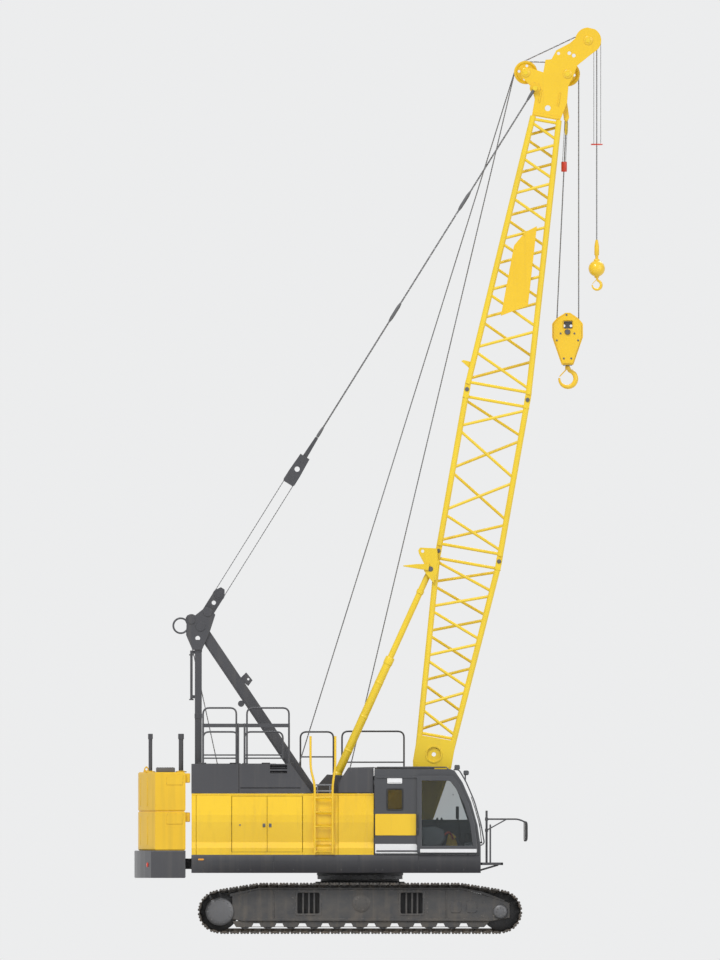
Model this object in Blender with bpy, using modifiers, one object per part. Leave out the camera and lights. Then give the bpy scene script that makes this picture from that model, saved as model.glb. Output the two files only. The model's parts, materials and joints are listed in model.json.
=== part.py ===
"""Lattice-boom crawler crane, in metres, +Z up, +X the way the boom leans, -Y the cab's side."""
import math

import bmesh
import bpy
from mathutils import Matrix, Vector

# Clearances
SEAT = 0.0003            # between pieces that touch
PLAY = 0.006             # between pieces that move past each other

# Crawler tracks
WHEELBASE = 5.28         # sprocket centre to idler centre
TRACK_END_RADIUS = 0.42  # outside of the shoes round the sprocket
TRACK_GAUGE = 4.04       # centre of one track to centre of the other
SHOE_WIDTH = 0.915
SHOE_PITCH = 0.19
SHOE_GAP = 0.014
SHOE_THICKNESS = 0.055
SHOE_WEB = 0.015         # what is left between two shoes
CHAIN_THICKNESS = 0.055
CHAIN_WIDTH = 0.30
TRACK_CROWN = 0.125      # rise of the upper run over its carrier rollers
CROWN_HALF = 1.90

# Side frames
FRAME_WIDTH = 0.52
FRAME_LOW = 0.235
FRAME_HIGH = 0.843
FRAME_REAR = -2.41
FRAME_FRONT = 2.82
POCKET_X = 0.97          # swing axis to each axle beam
POCKET_SIZE = (0.41, 0.39)
POCKET_LOW = 0.385
LOWER_ROLLERS = 11
LOWER_ROLLER_SPAN = 4.33
LOWER_ROLLER_RADIUS = 0.12
CARRIER_ROLLER_X = 1.45
CARRIER_ROLLER_RADIUS = 0.09

# Carbody and slew ring
CARBODY_HALF = POCKET_X - POCKET_SIZE[0] / 2 + 0.075
CARBODY_TOP = 0.985
SLEW_RING_RADIUS = 0.80
SLEW_RING_BORE = SLEW_RING_RADIUS - 0.18
SLEW_RING_LOW = 1.03
SLEW_RING_HIGH = 1.10
DECK_LOW = 1.147
DECK_HIGH = 1.489

# Upper frame
REAR_X = -3.17
FRONT_X = 2.27
HALF_WIDTH = 1.60
CHANNEL_HALF = 0.78      # open bay between the houses
TOWER_INNER = CHANNEL_HALF - 0.058   # the plates that carry winches, struts and backstops
TOWER_OUTER = CHANNEL_HALF - 0.018
PANEL = 0.667            # one body panel
HOUSE_TOP = 2.643
COVER_TOP = 3.20
WALL = 0.035
CAB_REAR = 0.275
HOUSE_FRONT = 0.262
DOOR_RAIL = 0.022         # how far the cab door's rails stand out
DOOR_RAILS = ((2.15, 1.545), (1.75, 2.93))   # front end and height of each rail

# Counterweight
TAIL_RADIUS = 4.24
TIER_RADIUS = 4.17
WEIGHT_FRONT = -3.28
WEIGHT_LOW = 1.053
WEIGHT_STEPS = (1.568, 2.307, 3.042)   # tops of the base slab, lower tier and upper tier

# Boom, along its own axis from the foot pin
BOOM_TILT = 10.0         # degrees from the vertical
BOOM_FOOT = (1.104, 1.767)
LEG_TOP = 1.95           # top of the foot plates
JOINT_1 = 5.42
JOINT_2 = 8.505
LATTICE_TOP = 13.78
HALF_DEPTH = 0.289
HALF_BREADTH = 0.62
FOOT_HALF_DEPTH = 0.155
TOP_HALF_DEPTH = 0.205
TOP_HALF_BREADTH = 0.26
CHORD_RADIUS = 0.0635
CHORD_SIDES = 6
LACING_RADIUS = 0.03
LACING_SIDES = 4
HEAD_SHAFT = (0.254, 14.668)
GUIDE_SHAFT = (-0.525, 14.559)
TIP_SHAFT = (0.528, 15.357)
STAY_PIN = (-0.302, 14.302)
HEAD_SHEAVE_RADIUS = 0.21
SHEAVE_HALF = 0.026
SHEAVE_STEPS = 16
HUB_RADIUS = 0.08
SHEAVE_Y = 0.09          # main sheaves on either side of the middle
DEAD_END = (0.377, 13.83)   # where the main rope is tied off
TIP_ROPE_RADIUS = 0.16

# Gantry and stays
POST_X = -3.04
STRUT_FOOT = (-0.79, 2.48)
STRUT_TOP = (-2.80, 5.46)
PEAK = (-2.86, 6.05)
LEG_Y = 0.62             # centre of each gantry leg, boom foot and backstop
SPREADER = (2.85, 3.45)  # from the peak along the stays

# Backstops
BACKSTOP_FOOT = (-0.48, 2.88)
BACKSTOP_PIN = (-0.666, 5.056)   # in the boom's own frame

# Winches: centre x, centre z, barrel radius, flange radius
DRUMS = {
    "rear_hoist_drum": (-1.14, 2.25, 0.25, 0.35),
    "front_hoist_drum": (-0.10, 2.25, 0.25, 0.35),
    "boom_hoist_drum": (-2.20, 2.02, 0.20, 0.30),
}

# Hooks
BLOCK_SHAFT_Z = 11.32
BALL_Z = 12.51
BALL_RADIUS = 0.155
ROPE_RADIUS = 0.013

# Finishes: red, green, blue, roughness, metallic
FINISHES = {
    "yellow": (0.90, 0.64, 0.02, 0.35, 0.0),
    "dark": (0.035, 0.036, 0.04, 0.45, 0.0),
    "grey": (0.16, 0.16, 0.17, 0.5, 0.2),
    "steel": (0.45, 0.45, 0.46, 0.35, 0.9),
    "rail": (0.75, 0.75, 0.76, 0.35, 0.3),
    "glass": (0.03, 0.05, 0.06, 0.05, 0.0),
    "seat": (0.03, 0.03, 0.035, 0.85, 0.0),
}


def clear_scene():
    """Empty the scene of whatever it opened with."""
    for old in list(bpy.data.objects):
        bpy.data.objects.remove(old, do_unlink=True)


def collection(name):
    """A new collection in the scene."""
    made = bpy.data.collections.new(name)
    bpy.context.scene.collection.children.link(made)
    return made


clear_scene()
CRANE = collection("crawler_crane")
WORKSHOP = collection("workshop")


def front_reach():
    """How far the ball under the boom's tip stands in front of the swing axis."""
    tilt = math.radians(BOOM_TILT)
    shaft = BOOM_FOOT[0] + TIP_SHAFT[0] * math.cos(tilt) + TIP_SHAFT[1] * math.sin(tilt)
    return shaft + TIP_ROPE_RADIUS + BALL_RADIUS


ORIGIN_X = (front_reach() - TAIL_RADIUS) / 2


def empty(name, parent, place, tilt=0.0):
    """A frame for a body: its origin is on the joint and it leans forward by tilt degrees."""
    made = bpy.data.objects.new(name, None)
    CRANE.objects.link(made)
    made.parent = parent
    made.location = place
    made.rotation_euler = (0.0, math.radians(tilt), 0.0)
    return made


def shape(bm):
    """A loose mesh object in the workshop."""
    bmesh.ops.recalc_face_normals(bm, faces=bm.faces)
    mesh = bpy.data.meshes.new("shape")
    bm.to_mesh(mesh)
    bm.free()
    made = bpy.data.objects.new("shape", mesh)
    WORKSHOP.objects.link(made)
    return made


def evaluated_mesh(source):
    """The mesh of an object with its modifiers or its curve's bevel."""
    graph = bpy.context.evaluated_depsgraph_get()
    return bpy.data.meshes.new_from_object(source.evaluated_get(graph))


def as_shape(source, place=None):
    """Turn a curve or a modified mesh into a welded loose mesh."""
    bm = bmesh.new()
    mesh = evaluated_mesh(source)
    bm.from_mesh(mesh)
    bpy.data.meshes.remove(mesh)
    bpy.data.objects.remove(source, do_unlink=True)
    bmesh.ops.remove_doubles(bm, verts=bm.verts, dist=0.00001)
    if place is not None:
        bmesh.ops.transform(bm, matrix=place, verts=bm.verts)
    return shape(bm)


def block(low, high):
    """A cuboid between two corners."""
    low = Vector(low)
    high = Vector(high)
    bm = bmesh.new()
    place = Matrix.Translation((low + high) / 2) @ Matrix.Diagonal((*(high - low), 1.0))
    bmesh.ops.create_cube(bm, size=1.0, matrix=place)
    return shape(bm)


def rod(start, end, radius, sides=8):
    """A round bar between two points."""
    start = Vector(start)
    end = Vector(end)
    bm = bmesh.new()
    turn = (end - start).to_track_quat("Z", "Y").to_matrix().to_4x4()
    place = Matrix.Translation((start + end) / 2) @ turn
    bmesh.ops.create_cone(
        bm, cap_ends=True, segments=sides, radius1=radius, radius2=radius,
        depth=(end - start).length, matrix=place,
    )
    return shape(bm)


def crossbar(x, z, half, radius, sides=8):
    """A round bar across the machine, between -half and +half."""
    return rod((x, -half, z), (x, half, z), radius, sides)


def extruded(outline, holes, thickness, place):
    """A flat outline with holes, as thick as asked, moved by a matrix."""
    curve = bpy.data.curves.new("outline", "CURVE")
    curve.dimensions = "2D"
    curve.fill_mode = "BOTH"
    curve.extrude = thickness / 2
    for ring in (outline, *holes):
        spline = curve.splines.new("POLY")
        spline.points.add(len(ring) - 1)
        for point, (across, up) in zip(spline.points, ring):
            point.co = (across, up, 0.0, 1.0)
        spline.use_cyclic_u = True
    source = bpy.data.objects.new("outline", curve)
    WORKSHOP.objects.link(source)
    return as_shape(source, place)


def side(outline, y_low, y_high, holes=()):
    """A side-view outline (x, z) extruded across the machine."""
    turn = Matrix.Rotation(math.radians(90), 4, "X")
    place = Matrix.Translation((0.0, (y_low + y_high) / 2, 0.0)) @ turn
    return extruded(outline, holes, abs(y_high - y_low), place)


def plan(outline, z_low, z_high, holes=()):
    """A plan outline (x, y) extruded upwards."""
    place = Matrix.Translation((0.0, 0.0, (z_low + z_high) / 2))
    return extruded(outline, holes, z_high - z_low, place)


def ring(x, z, radius, sides=8, start=0.0, sweep=360.0):
    """Points of a circle, or of an arc when sweep is less than a turn."""
    steps = sides if sweep >= 360.0 else sides + 1
    points = []
    for step in range(steps):
        angle = math.radians(start + sweep * step / sides)
        points.append((x + radius * math.cos(angle), z + radius * math.sin(angle)))
    return points


def rectangle(x, z, width, height):
    """Corners of an upright rectangle about its centre."""
    half_w = width / 2
    half_h = height / 2
    return [(x - half_w, z - half_h), (x + half_w, z - half_h), (x + half_w, z + half_h), (x - half_w, z + half_h)]


def slat(start, end, width):
    """Corners of a bar of a given width between two side-view points."""
    run = Vector(end) - Vector(start)
    away = Vector((-run.y, run.x)).normalized() * width / 2
    corners = (Vector(start) - away, Vector(end) - away, Vector(end) + away, Vector(start) + away)
    return [tuple(corner) for corner in corners]


def bore(radius, sides=8):
    """Radius of a faceted hole that a pin of this radius turns in."""
    return (radius + SEAT) / math.cos(math.pi / sides)


def socket(radius, sides=8):
    """Radius of a faceted hole that holds a fixed pin with as many sides."""
    return radius + SEAT / math.cos(math.pi / sides)


def collars(x, z, y, gap_half, ear_half, radius):
    """Thrust washers on a pin, between a turning eye and the ears on either side of it."""
    shapes = []
    for sign in (-1, 1):
        shapes.append(rod((x, y + sign * (gap_half + SEAT), z), (x, y + sign * ear_half, z), radius))
    return shapes


def turned(profile, place, steps=24):
    """A profile of (radius, height) spun about the local Z axis."""
    mesh = bpy.data.meshes.new("profile")
    edges = [(i, i + 1) for i in range(len(profile) - 1)]
    if profile[0][0] > 0:
        edges.append((len(profile) - 1, 0))
    mesh.from_pydata([(radius, 0.0, height) for radius, height in profile], edges, [])
    source = bpy.data.objects.new("profile", mesh)
    WORKSHOP.objects.link(source)
    spin = source.modifiers.new("spin", "SCREW")
    spin.steps = steps
    spin.render_steps = steps
    spin.use_merge_vertices = True
    spin.merge_threshold = 0.0001
    return as_shape(source, place)


def across(x, y, z):
    """A matrix that lays the local Z axis along +Y at a point."""
    return Matrix.Translation((x, y, z)) @ Matrix.Rotation(math.radians(-90), 4, "X")


def tube(points, radius, closed=False, smooth=1):
    """A round tube along a path."""
    curve = bpy.data.curves.new("path", "CURVE")
    curve.dimensions = "3D"
    curve.bevel_depth = radius
    curve.bevel_resolution = smooth
    curve.use_fill_caps = True
    spline = curve.splines.new("POLY")
    spline.points.add(len(points) - 1)
    for point, place in zip(spline.points, points):
        point.co = (*place, 1.0)
    spline.use_cyclic_u = closed
    source = bpy.data.objects.new("path", curve)
    WORKSHOP.objects.link(source)
    return as_shape(source)


def boolean(base, operation, others):
    """Add a Boolean against a set of loose shapes."""
    group = bpy.data.collections.new(operation.lower())
    WORKSHOP.children.link(group)
    for other in others:
        group.objects.link(other)
    step = base.modifiers.new(operation.lower(), "BOOLEAN")
    step.operation = operation
    step.operand_type = "COLLECTION"
    step.collection = group
    step.solver = "EXACT"


def part(name, body, finish, shapes, cuts=()):
    """Fuse loose shapes, cut them, and hang the result on a body as one named piece."""
    base, *rest = shapes
    if rest:
        boolean(base, "UNION", rest)
    if cuts:
        boolean(base, "DIFFERENCE", list(cuts))
    mesh = evaluated_mesh(base)
    mesh.name = name
    for used in (*shapes, *cuts):
        bpy.data.objects.remove(used, do_unlink=True)
    for group in list(WORKSHOP.children):
        bpy.data.collections.remove(group)
    made = bpy.data.objects.new(name, mesh)
    CRANE.objects.link(made)
    made.parent = body
    mesh.materials.clear()
    mesh.materials.append(painted(name, finish))
    mesh.shade_smooth()
    mesh.set_sharp_from_angle(angle=math.radians(30))
    return made


def painted(name, finish):
    """A Principled material of the piece's own."""
    red, green, blue, roughness, metallic = FINISHES[finish]
    material = bpy.data.materials.new(name + "_finish")
    material.use_nodes = True
    shader = material.node_tree.nodes["Principled BSDF"]
    shader.inputs["Base Color"].default_value = (red, green, blue, 1.0)
    shader.inputs["Roughness"].default_value = roughness
    shader.inputs["Metallic"].default_value = metallic
    return material


def track_path():
    """Pins of the shoe chain, evenly spaced round the sprocket, idler and crown."""
    radius = TRACK_END_RADIUS - SHOE_THICKNESS
    centre = TRACK_END_RADIUS
    half = WHEELBASE / 2
    crown = centre + radius + TRACK_CROWN
    lean = math.degrees(math.atan2(TRACK_CROWN, half - CROWN_HALF))
    points = [(-half, SHOE_THICKNESS)]
    points += ring(half, centre, radius, 24, -90.0, 180.0 - lean)
    points += [(CROWN_HALF, crown), (-CROWN_HALF, crown)]
    points += ring(-half, centre, radius, 24, 90.0 + lean, 180.0 - lean)
    lengths = [math.dist(a, b) for a, b in zip(points, points[1:] + points[:1])]
    count = round(sum(lengths) / SHOE_PITCH)
    step = sum(lengths) / count
    pins = []
    for number in range(count):
        left = number * step
        index = 0
        while left > lengths[index]:
            left -= lengths[index]
            index += 1
        start = Vector(points[index])
        end = Vector(points[(index + 1) % len(points)])
        pins.append(start.lerp(end, left / lengths[index]))
    return pins


def track(name, body, y):
    """A loop of chain lofted from pin to pin, with a flat shoe standing on each link."""
    pins = track_path()
    half = SHOE_WIDTH / 2
    rail = CHAIN_WIDTH / 2
    bm = bmesh.new()

    def row(point, *offsets):
        return [bm.verts.new((point.x, y + offset, point.y)) for offset in offsets]

    sections = []
    for before, pin, after in zip(pins[-1:] + pins[:-1], pins, pins[1:] + pins[:1]):
        along = (after - before).normalized()
        out = Vector((along.y, -along.x))
        web = row(pin + out * SHOE_WEB, -half, half)
        seat = row(pin, half, rail, -rail, -half)
        chain = row(pin - out * CHAIN_THICKNESS, rail, -rail)
        sections.append([web[1], seat[0], seat[1], *chain, seat[2], seat[3], web[0]])
    for number, (here, there) in enumerate(zip(sections, sections[1:] + sections[:1])):
        pin = pins[number]
        after = pins[(number + 1) % len(pins)]
        along = (after - pin).normalized()
        out = Vector((along.y, -along.x)) * SHOE_THICKNESS
        start = row(pin + along * SHOE_GAP / 2 + out, -half, half)
        end = row(after - along * SHOE_GAP / 2 + out, -half, half)
        for index in range(len(here) - 1):
            bm.faces.new((here[index], here[index + 1], there[index + 1], there[index]))
        bm.faces.new((here[-1], here[0], start[1], start[0]))
        bm.faces.new((*start, end[1], end[0]))
        bm.faces.new((end[0], end[1], there[0], there[-1]))
        bm.faces.new((here[-1], start[0], end[0], there[-1]))
        bm.faces.new((here[0], start[1], end[1], there[0]))
    part(name, body, "dark", [shape(bm)])


def side_frame(name, body, y):
    """The beam inside a track, with its rollers, idler and sprocket on their shafts."""
    low = y - FRAME_WIDTH / 2
    high = y + FRAME_WIDTH / 2
    half = WHEELBASE / 2
    middle = TRACK_END_RADIUS
    beam = [
        (FRAME_REAR, 0.28), (-2.2, FRAME_LOW), (2.45, FRAME_LOW), (FRAME_FRONT, 0.30),
        (FRAME_FRONT, 0.59), (2.27, 0.75), (CROWN_HALF, FRAME_HIGH), (-CROWN_HALF, FRAME_HIGH),
        (FRAME_REAR, 0.72),
    ]
    pocket_z = POCKET_LOW + POCKET_SIZE[1] / 2
    pockets = [rectangle(x, pocket_z, *POCKET_SIZE) for x in (-POCKET_X, POCKET_X)]
    shapes = [side(beam, low, high, pockets)]
    roller_z = SHOE_THICKNESS + CHAIN_THICKNESS + SEAT + LOWER_ROLLER_RADIUS
    for number in range(LOWER_ROLLERS):
        x = LOWER_ROLLER_SPAN * (number / (LOWER_ROLLERS - 1) - 0.5)
        shapes.append(rod((x, low + 0.06, roller_z), (x, high - 0.06, roller_z), LOWER_ROLLER_RADIUS, 8))
    carrier_z = 2 * middle + TRACK_CROWN - SHOE_THICKNESS - CHAIN_THICKNESS - SEAT - CARRIER_ROLLER_RADIUS
    for x in (-CARRIER_ROLLER_X, CARRIER_ROLLER_X):
        shapes.append(rod((x, y - 0.12, carrier_z), (x, y + 0.12, carrier_z), CARRIER_ROLLER_RADIUS, 8))
    pin_radius = TRACK_END_RADIUS - SHOE_THICKNESS
    half_step = math.asin(SHOE_PITCH / 2 / pin_radius)
    wheel = (pin_radius - CHAIN_THICKNESS) * math.cos(half_step) - PLAY
    for x in (-half, half):
        shapes.append(rod((x, y - 0.13, middle), (x, y + 0.13, middle), wheel, 20))
        shapes.append(rod((x, low - 0.02, middle), (x, high + 0.02, middle), 0.24, 16))
        shapes.append(rod((x, low - 0.05, middle), (x, high + 0.05, middle), 0.13, 10))
    part(name, body, "dark", shapes)


def carbody(body):
    """The fixed centre: two axle beams, the centre box and the lower race."""
    tip = TRACK_GAUGE / 2
    fit = 2 * SEAT
    pocket_z = POCKET_LOW + POCKET_SIZE[1] / 2
    shapes = [
        block((-CARBODY_HALF, -1.1, 0.42), (CARBODY_HALF, 1.1, CARBODY_TOP)),
        rod((0, 0, 0.9), (0, 0, SLEW_RING_LOW), SLEW_RING_RADIUS - 0.06, 32),
    ]
    for x in (-POCKET_X, POCKET_X):
        beam = rectangle(x, pocket_z, POCKET_SIZE[0] - fit, POCKET_SIZE[1] - fit)
        shapes.append(side(beam, -tip, tip))
        shapes.append(block((x - 0.16, -1.5, 0.45), (x + 0.16, 1.5, 0.93)))
    well = rod((0, 0, 0.3), (0, 0, 1.2), SLEW_RING_BORE - 0.2, 24)
    part("carbody", body, "dark", shapes, [well])
    race_low = SLEW_RING_LOW + SEAT
    race = [
        (SLEW_RING_RADIUS, SLEW_RING_HIGH), (SLEW_RING_RADIUS, race_low), (SLEW_RING_BORE, race_low),
        (SLEW_RING_BORE, SLEW_RING_HIGH),
    ]
    part("slew_ring", body, "grey", [turned(race, Matrix(), 32)])


def revolving_frame(body):
    """The deck with its skirts, the towers that carry winches and gantry, and the boom's brackets."""
    shapes = [
        block((REAR_X, -HALF_WIDTH, DECK_LOW), (FRONT_X, HALF_WIDTH, DECK_HIGH)),
        rod((0, 0, SLEW_RING_HIGH + SEAT), (0, 0, 1.3), SLEW_RING_RADIUS, 32),
        block((REAR_X - 0.40, -0.5, 1.22), (REAR_X + 0.2, 0.5, 1.42)),
    ]
    cuts = []
    bays = [(-3.12, -1.95), (-1.90, -0.90), (0.90, 1.70), (1.75, 2.22)]
    for start, end in bays:
        for sign in (-1, 1):
            edges = sorted((sign * 0.80, sign * (HALF_WIDTH - 0.04)))
            cuts.append(block((start, edges[0], DECK_LOW - 0.1), (end, edges[1], DECK_HIGH - 0.09)))
    foot_x, foot_z = BOOM_FOOT
    bracket = [(foot_x - 0.42, DECK_HIGH - 0.1), (foot_x + 0.42, DECK_HIGH - 0.1)]
    bracket += ring(foot_x, foot_z, 0.15, 6, 0.0, 180.0)
    tower = [
        (-1.45, DECK_HIGH - 0.1), (0.22, DECK_HIGH - 0.1), (0.12, 2.42), (BACKSTOP_FOOT[0] + 0.16, 2.98),
        (BACKSTOP_FOOT[0] - 0.14, 3.0), (STRUT_FOOT[0] - 0.16, 2.62), (-1.35, 2.45),
    ]
    stern = [(-3.15, DECK_HIGH - 0.1), (-1.75, DECK_HIGH - 0.1), (-2.0, 2.2), (-2.85, 2.25), (-3.15, 2.1)]
    for sign in (-1, 1):
        for offset in (-0.10, 0.10):
            y = sign * (LEG_Y + offset)
            shapes.append(side(bracket, y - 0.02, y + 0.02))
        shapes.append(rod((foot_x, sign * 0.47, foot_z), (foot_x, sign * 0.755, foot_z), 0.05))
        shapes += collars(foot_x, foot_z, sign * LEG_Y, 0.065, 0.09, 0.08)
        shapes += collars(*BACKSTOP_FOOT, sign * LEG_Y, 0.05, TOWER_INNER + 0.01 - LEG_Y, 0.07)
        edges = sorted((sign * TOWER_INNER, sign * TOWER_OUTER))
        shapes.append(side(tower, *edges))
        shapes.append(side(stern, *edges))
    for x, z in (STRUT_FOOT, BACKSTOP_FOOT):
        for sign in (-1, 1):
            shapes.append(rod((x, sign * (LEG_Y - 0.11), z), (x, sign * (TOWER_INNER + 0.02), z), 0.045))
    shapes.append(crossbar(POST_X, 1.95, TOWER_INNER + 0.02, 0.05))
    part("revolving_frame", body, "dark", shapes, cuts)


def winches(body):
    """The winch drums on their shafts between the towers."""
    for name, (x, z, barrel, flange) in DRUMS.items():
        profile = [
            (flange, 0.46), (flange, 0.43), (barrel, 0.43), (barrel, -0.43), (flange, -0.43), (flange, -0.46),
            (0.07, -0.46), (0.07, SEAT - TOWER_INNER), (0.0, SEAT - TOWER_INNER),
        ]
        profile = [(0.0, TOWER_INNER - SEAT), (0.07, TOWER_INNER - SEAT), (0.07, 0.46), *profile]
        part(name, body, "grey", [turned(profile, across(x, 0, z), 14)])


def house(prefix, body, sign, front):
    """One engine-room house: a hollow box with two doors, and its top covers."""
    inner = sign * CHANNEL_HALF
    outer = sign * HALF_WIDTH
    low, high = sorted((inner, outer))
    base = DECK_HIGH + SEAT
    shell = block((REAR_X, low, base), (front, high, HOUSE_TOP))
    room = block((REAR_X + WALL, low + WALL, base - 0.1), (front - WALL, high - WALL, HOUSE_TOP - WALL))
    door_x = REAR_X + 0.09 + PANEL
    door_low = base + 0.05
    door_high = HOUSE_TOP - 0.05
    edges = sorted((outer - sign * 0.5 * CHANNEL_HALF, outer + sign * 0.1))
    doorway = block((door_x, edges[0], door_low), (door_x + 2 * PANEL, edges[1], door_high))
    jamb = sorted((outer, outer - sign * WALL))
    lugs = []
    for z in (door_low + 0.15, door_high - 0.25):
        lugs.append(block((door_x - 0.01, jamb[0], z), (door_x + PLAY - SEAT, jamb[1], z + 0.10)))
        lugs.append(block((door_x + 2 * PANEL - PLAY + SEAT, jamb[0], z), (door_x + 2 * PANEL + 0.01, jamb[1], z + 0.10)))
    frame = part("frame", None, "yellow", [shell], [room, doorway])
    part(prefix + "_house", body, "yellow", [frame, *lugs])
    for number in (1, 2):
        start = door_x + (number - 1) * PANEL + (PLAY if number == 1 else SEAT * 10)
        end = door_x + number * PANEL - (PLAY if number == 2 else SEAT * 10)
        hinge_x = start if number == 1 else end
        hinge = empty(f"{prefix}_door_{number}_hinge", body, (hinge_x, outer, 0.0))
        depth = sorted((0.0, -sign * WALL))
        leaf = block(
            (start - hinge_x, depth[0], door_low + PLAY), (end - hinge_x, depth[1], door_high - PLAY)
        )
        part(f"{prefix}_door_{number}", hinge, "yellow", [leaf])
    cover_low = HOUSE_TOP + SEAT
    rear = [(REAR_X, cover_low), (-0.90, cover_low), (-1.30, COVER_TOP), (REAR_X, COVER_TOP)]
    nose = [
        (-0.42, cover_low), (front, cover_low), (front, COVER_TOP - 0.06), (-0.22, COVER_TOP - 0.07),
        (-0.42, 2.83),
    ]
    part(prefix + "_rear_cover", body, "dark", [side(rear, low, high)])
    part(prefix + "_front_cover", body, "dark", [side(nose, low, high)])


def counterweight(body):
    """Slab and two tiers with a rear face round the swing axis."""
    lows = (WEIGHT_LOW, *[top + SEAT for top in WEIGHT_STEPS[:-1]])
    radii = (TAIL_RADIUS, TIER_RADIUS, TIER_RADIUS)
    names = ("counterweight_base", "counterweight_lower", "counterweight_upper")
    finishes = ("dark", "yellow", "yellow")
    for name, low, high, radius, finish in zip(names, lows, WEIGHT_STEPS, radii, finishes):
        reach = math.degrees(math.asin(HALF_WIDTH / radius))
        outline = [(WEIGHT_FRONT, -HALF_WIDTH)]
        outline += ring(0, 0, radius, 10, 180.0 + reach, -2 * reach)
        outline.append((WEIGHT_FRONT, HALF_WIDTH))
        cuts = []
        if name == "counterweight_base":
            cuts.append(block(
                (REAR_X - 0.40 - SEAT, -0.5 - SEAT, 1.22 - SEAT), (REAR_X, 0.5 + SEAT, 1.42 + SEAT)
            ))
        part(name, body, finish, [plan(outline, low, high)], cuts)


def gantry(body):
    """Rear posts, front struts and the head that ties them, with the peak shaft."""
    hole = socket(0.045)
    post_hole = socket(0.05)
    struts = []
    posts = []
    direction = (Vector(STRUT_TOP) - Vector(STRUT_FOOT)).normalized()
    foot = Vector(STRUT_FOOT) - direction * 0.12
    for sign in (-1, 1):
        edges = sorted((sign * (LEG_Y - 0.065), sign * (LEG_Y + 0.0697)))
        strut = slat(tuple(foot), STRUT_TOP, 0.22)
        struts.append(side(strut, *edges, [ring(*STRUT_FOOT, hole)]))
        post = rectangle(POST_X, 3.68, 0.13, 3.7)
        posts.append(side(post, *edges, [ring(POST_X, 1.95, post_hole)]))
    for share in (0.45, 0.85):
        x, z = Vector(STRUT_FOOT).lerp(Vector(STRUT_TOP), share)
        struts.append(crossbar(x, z, LEG_Y, 0.06, 10))
    posts.append(crossbar(POST_X, 4.1, LEG_Y, 0.045, 10))
    part("gantry_struts", body, "dark", struts)
    part("gantry_posts", body, "dark", posts)
    cheek = [
        (-3.255, 5.99), (-3.10, 5.99), (-2.90, 6.15), (-2.80, 6.12), (-2.72, 6.0), (-2.82, 5.69),
        (-2.97, 5.34), (-3.15, 5.34), (-3.27, 5.62),
    ]
    shapes = [crossbar(*PEAK, 0.72, 0.05), crossbar(-3.17, 5.9, 0.72, 0.05), crossbar(-3.0, 5.78, 0.72, 0.06)]
    for sign in (-1, 1):
        edges = sorted((sign * (LEG_Y + 0.07), sign * (LEG_Y + 0.11)))
        shapes.append(side(cheek, *edges))
        shapes += collars(*PEAK, sign * 0.42, 0.015, 0.03, 0.08)
    part("gantry_head", body, "dark", shapes)


def cab(body):
    """The operator's cab: a shell split at its panels, with cut windows and a sliding door."""
    low, high = -HALF_WIDTH - 0.02, 0.01 - CHANNEL_HALF
    base = DECK_HIGH + SEAT
    outline = [(CAB_REAR, base), (2.27, base), (2.27, 1.66), (2.21, 2.05), (2.09, 2.48), (1.93, 2.85), (1.78, 3.07),
               (1.70, 3.10), (CAB_REAR, 3.10)]
    inside = [(CAB_REAR + 0.05, base + 0.05), (2.22, base + 0.05), (2.22, 1.68), (2.16, 2.05), (2.04, 2.46),
              (1.88, 2.82), (1.72, 3.04), (1.68, 3.05), (CAB_REAR + 0.05, 3.05)]
    shell = side(outline, low, high)
    room = side(inside, low + 0.05, high - 0.05)
    doorway = side([(1.16, 1.60), (2.12, 1.60), (2.12, 1.72), (2.06, 2.10), (1.95, 2.46), (1.78, 2.80),
                    (1.68, 2.92), (1.16, 2.92)], low - 0.1, low + 0.2)
    side_window = side(rectangle(0.655, 2.53, 0.28, 0.38), low - 0.1, low + 0.2)
    inner_window = side([(0.85, 2.15), (2.02, 2.15), (1.82, 2.72), (1.66, 2.92), (0.85, 2.92)], high - 0.2, high + 0.1)
    screen = block((1.79, low + 0.09, 1.75), (2.5, high - 0.09, 2.98))
    rails = [block((CAB_REAR + 0.03, low - DOOR_RAIL, z), (x, low + 0.01, z + 0.03)) for x, z in DOOR_RAILS]
    part("cab", body, "dark", [shell, *rails], [room, doorway, side_window, inner_window, screen])
    gap = 0.004
    pane = [(2.247, 1.75 + gap), (2.19, 2.05), (2.07, 2.47), (1.91, 2.835), (1.81, 2.98 - gap),
            (1.796, 2.965), (1.895, 2.825), (2.055, 2.46), (2.176, 2.045), (2.233, 1.75 + gap)]
    part("cab_front_glass", body, "glass", [side(pane, low + 0.09 + SEAT, high - 0.09 - SEAT)])
    part("cab_side_glass", body, "glass", [side(rectangle(0.655, 2.53, 0.28 - SEAT * 2, 0.38 - SEAT * 2), low + 0.01, low + 0.02)])
    slide = empty("cab_door_track", body, (1.07, low - DOOR_RAIL - SEAT, 1.52))
    leaf = [(0.0, 0.0), (1.14, 0.0), (1.14, 0.13), (1.085, 0.56), (0.97, 0.94), (0.80, 1.30), (0.68, 1.46), (0.0, 1.46)]
    window = [(0.09, 0.14), (1.05, 0.14), (0.995, 0.56), (0.885, 0.92), (0.73, 1.22), (0.62, 1.36), (0.09, 1.36)]
    part("cab_door", slide, "dark", [side(leaf, -0.04, 0.0, [window])])
    middle = Vector((0.55, 0.75))
    glazing = [tuple(middle + (Vector(point) - middle) * 0.9995) for point in window]
    part("cab_door_glass", slide, "glass", [side(glazing, -0.026, -0.016)])
    seat = [
        block((0.95, low + 0.20, base + 0.32), (1.45, high - 0.19, base + 0.46)),
        side([(0.85, base + 0.36), (0.98, base + 0.36), (0.92, base + 1.06), (0.80, base + 1.06)],
             low + 0.22, high - 0.21),
        block((1.05, low + 0.30, base + 0.0503), (1.35, high - 0.29, base + 0.36)),
    ]
    part("operator_seat", body, "seat", seat)


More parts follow.
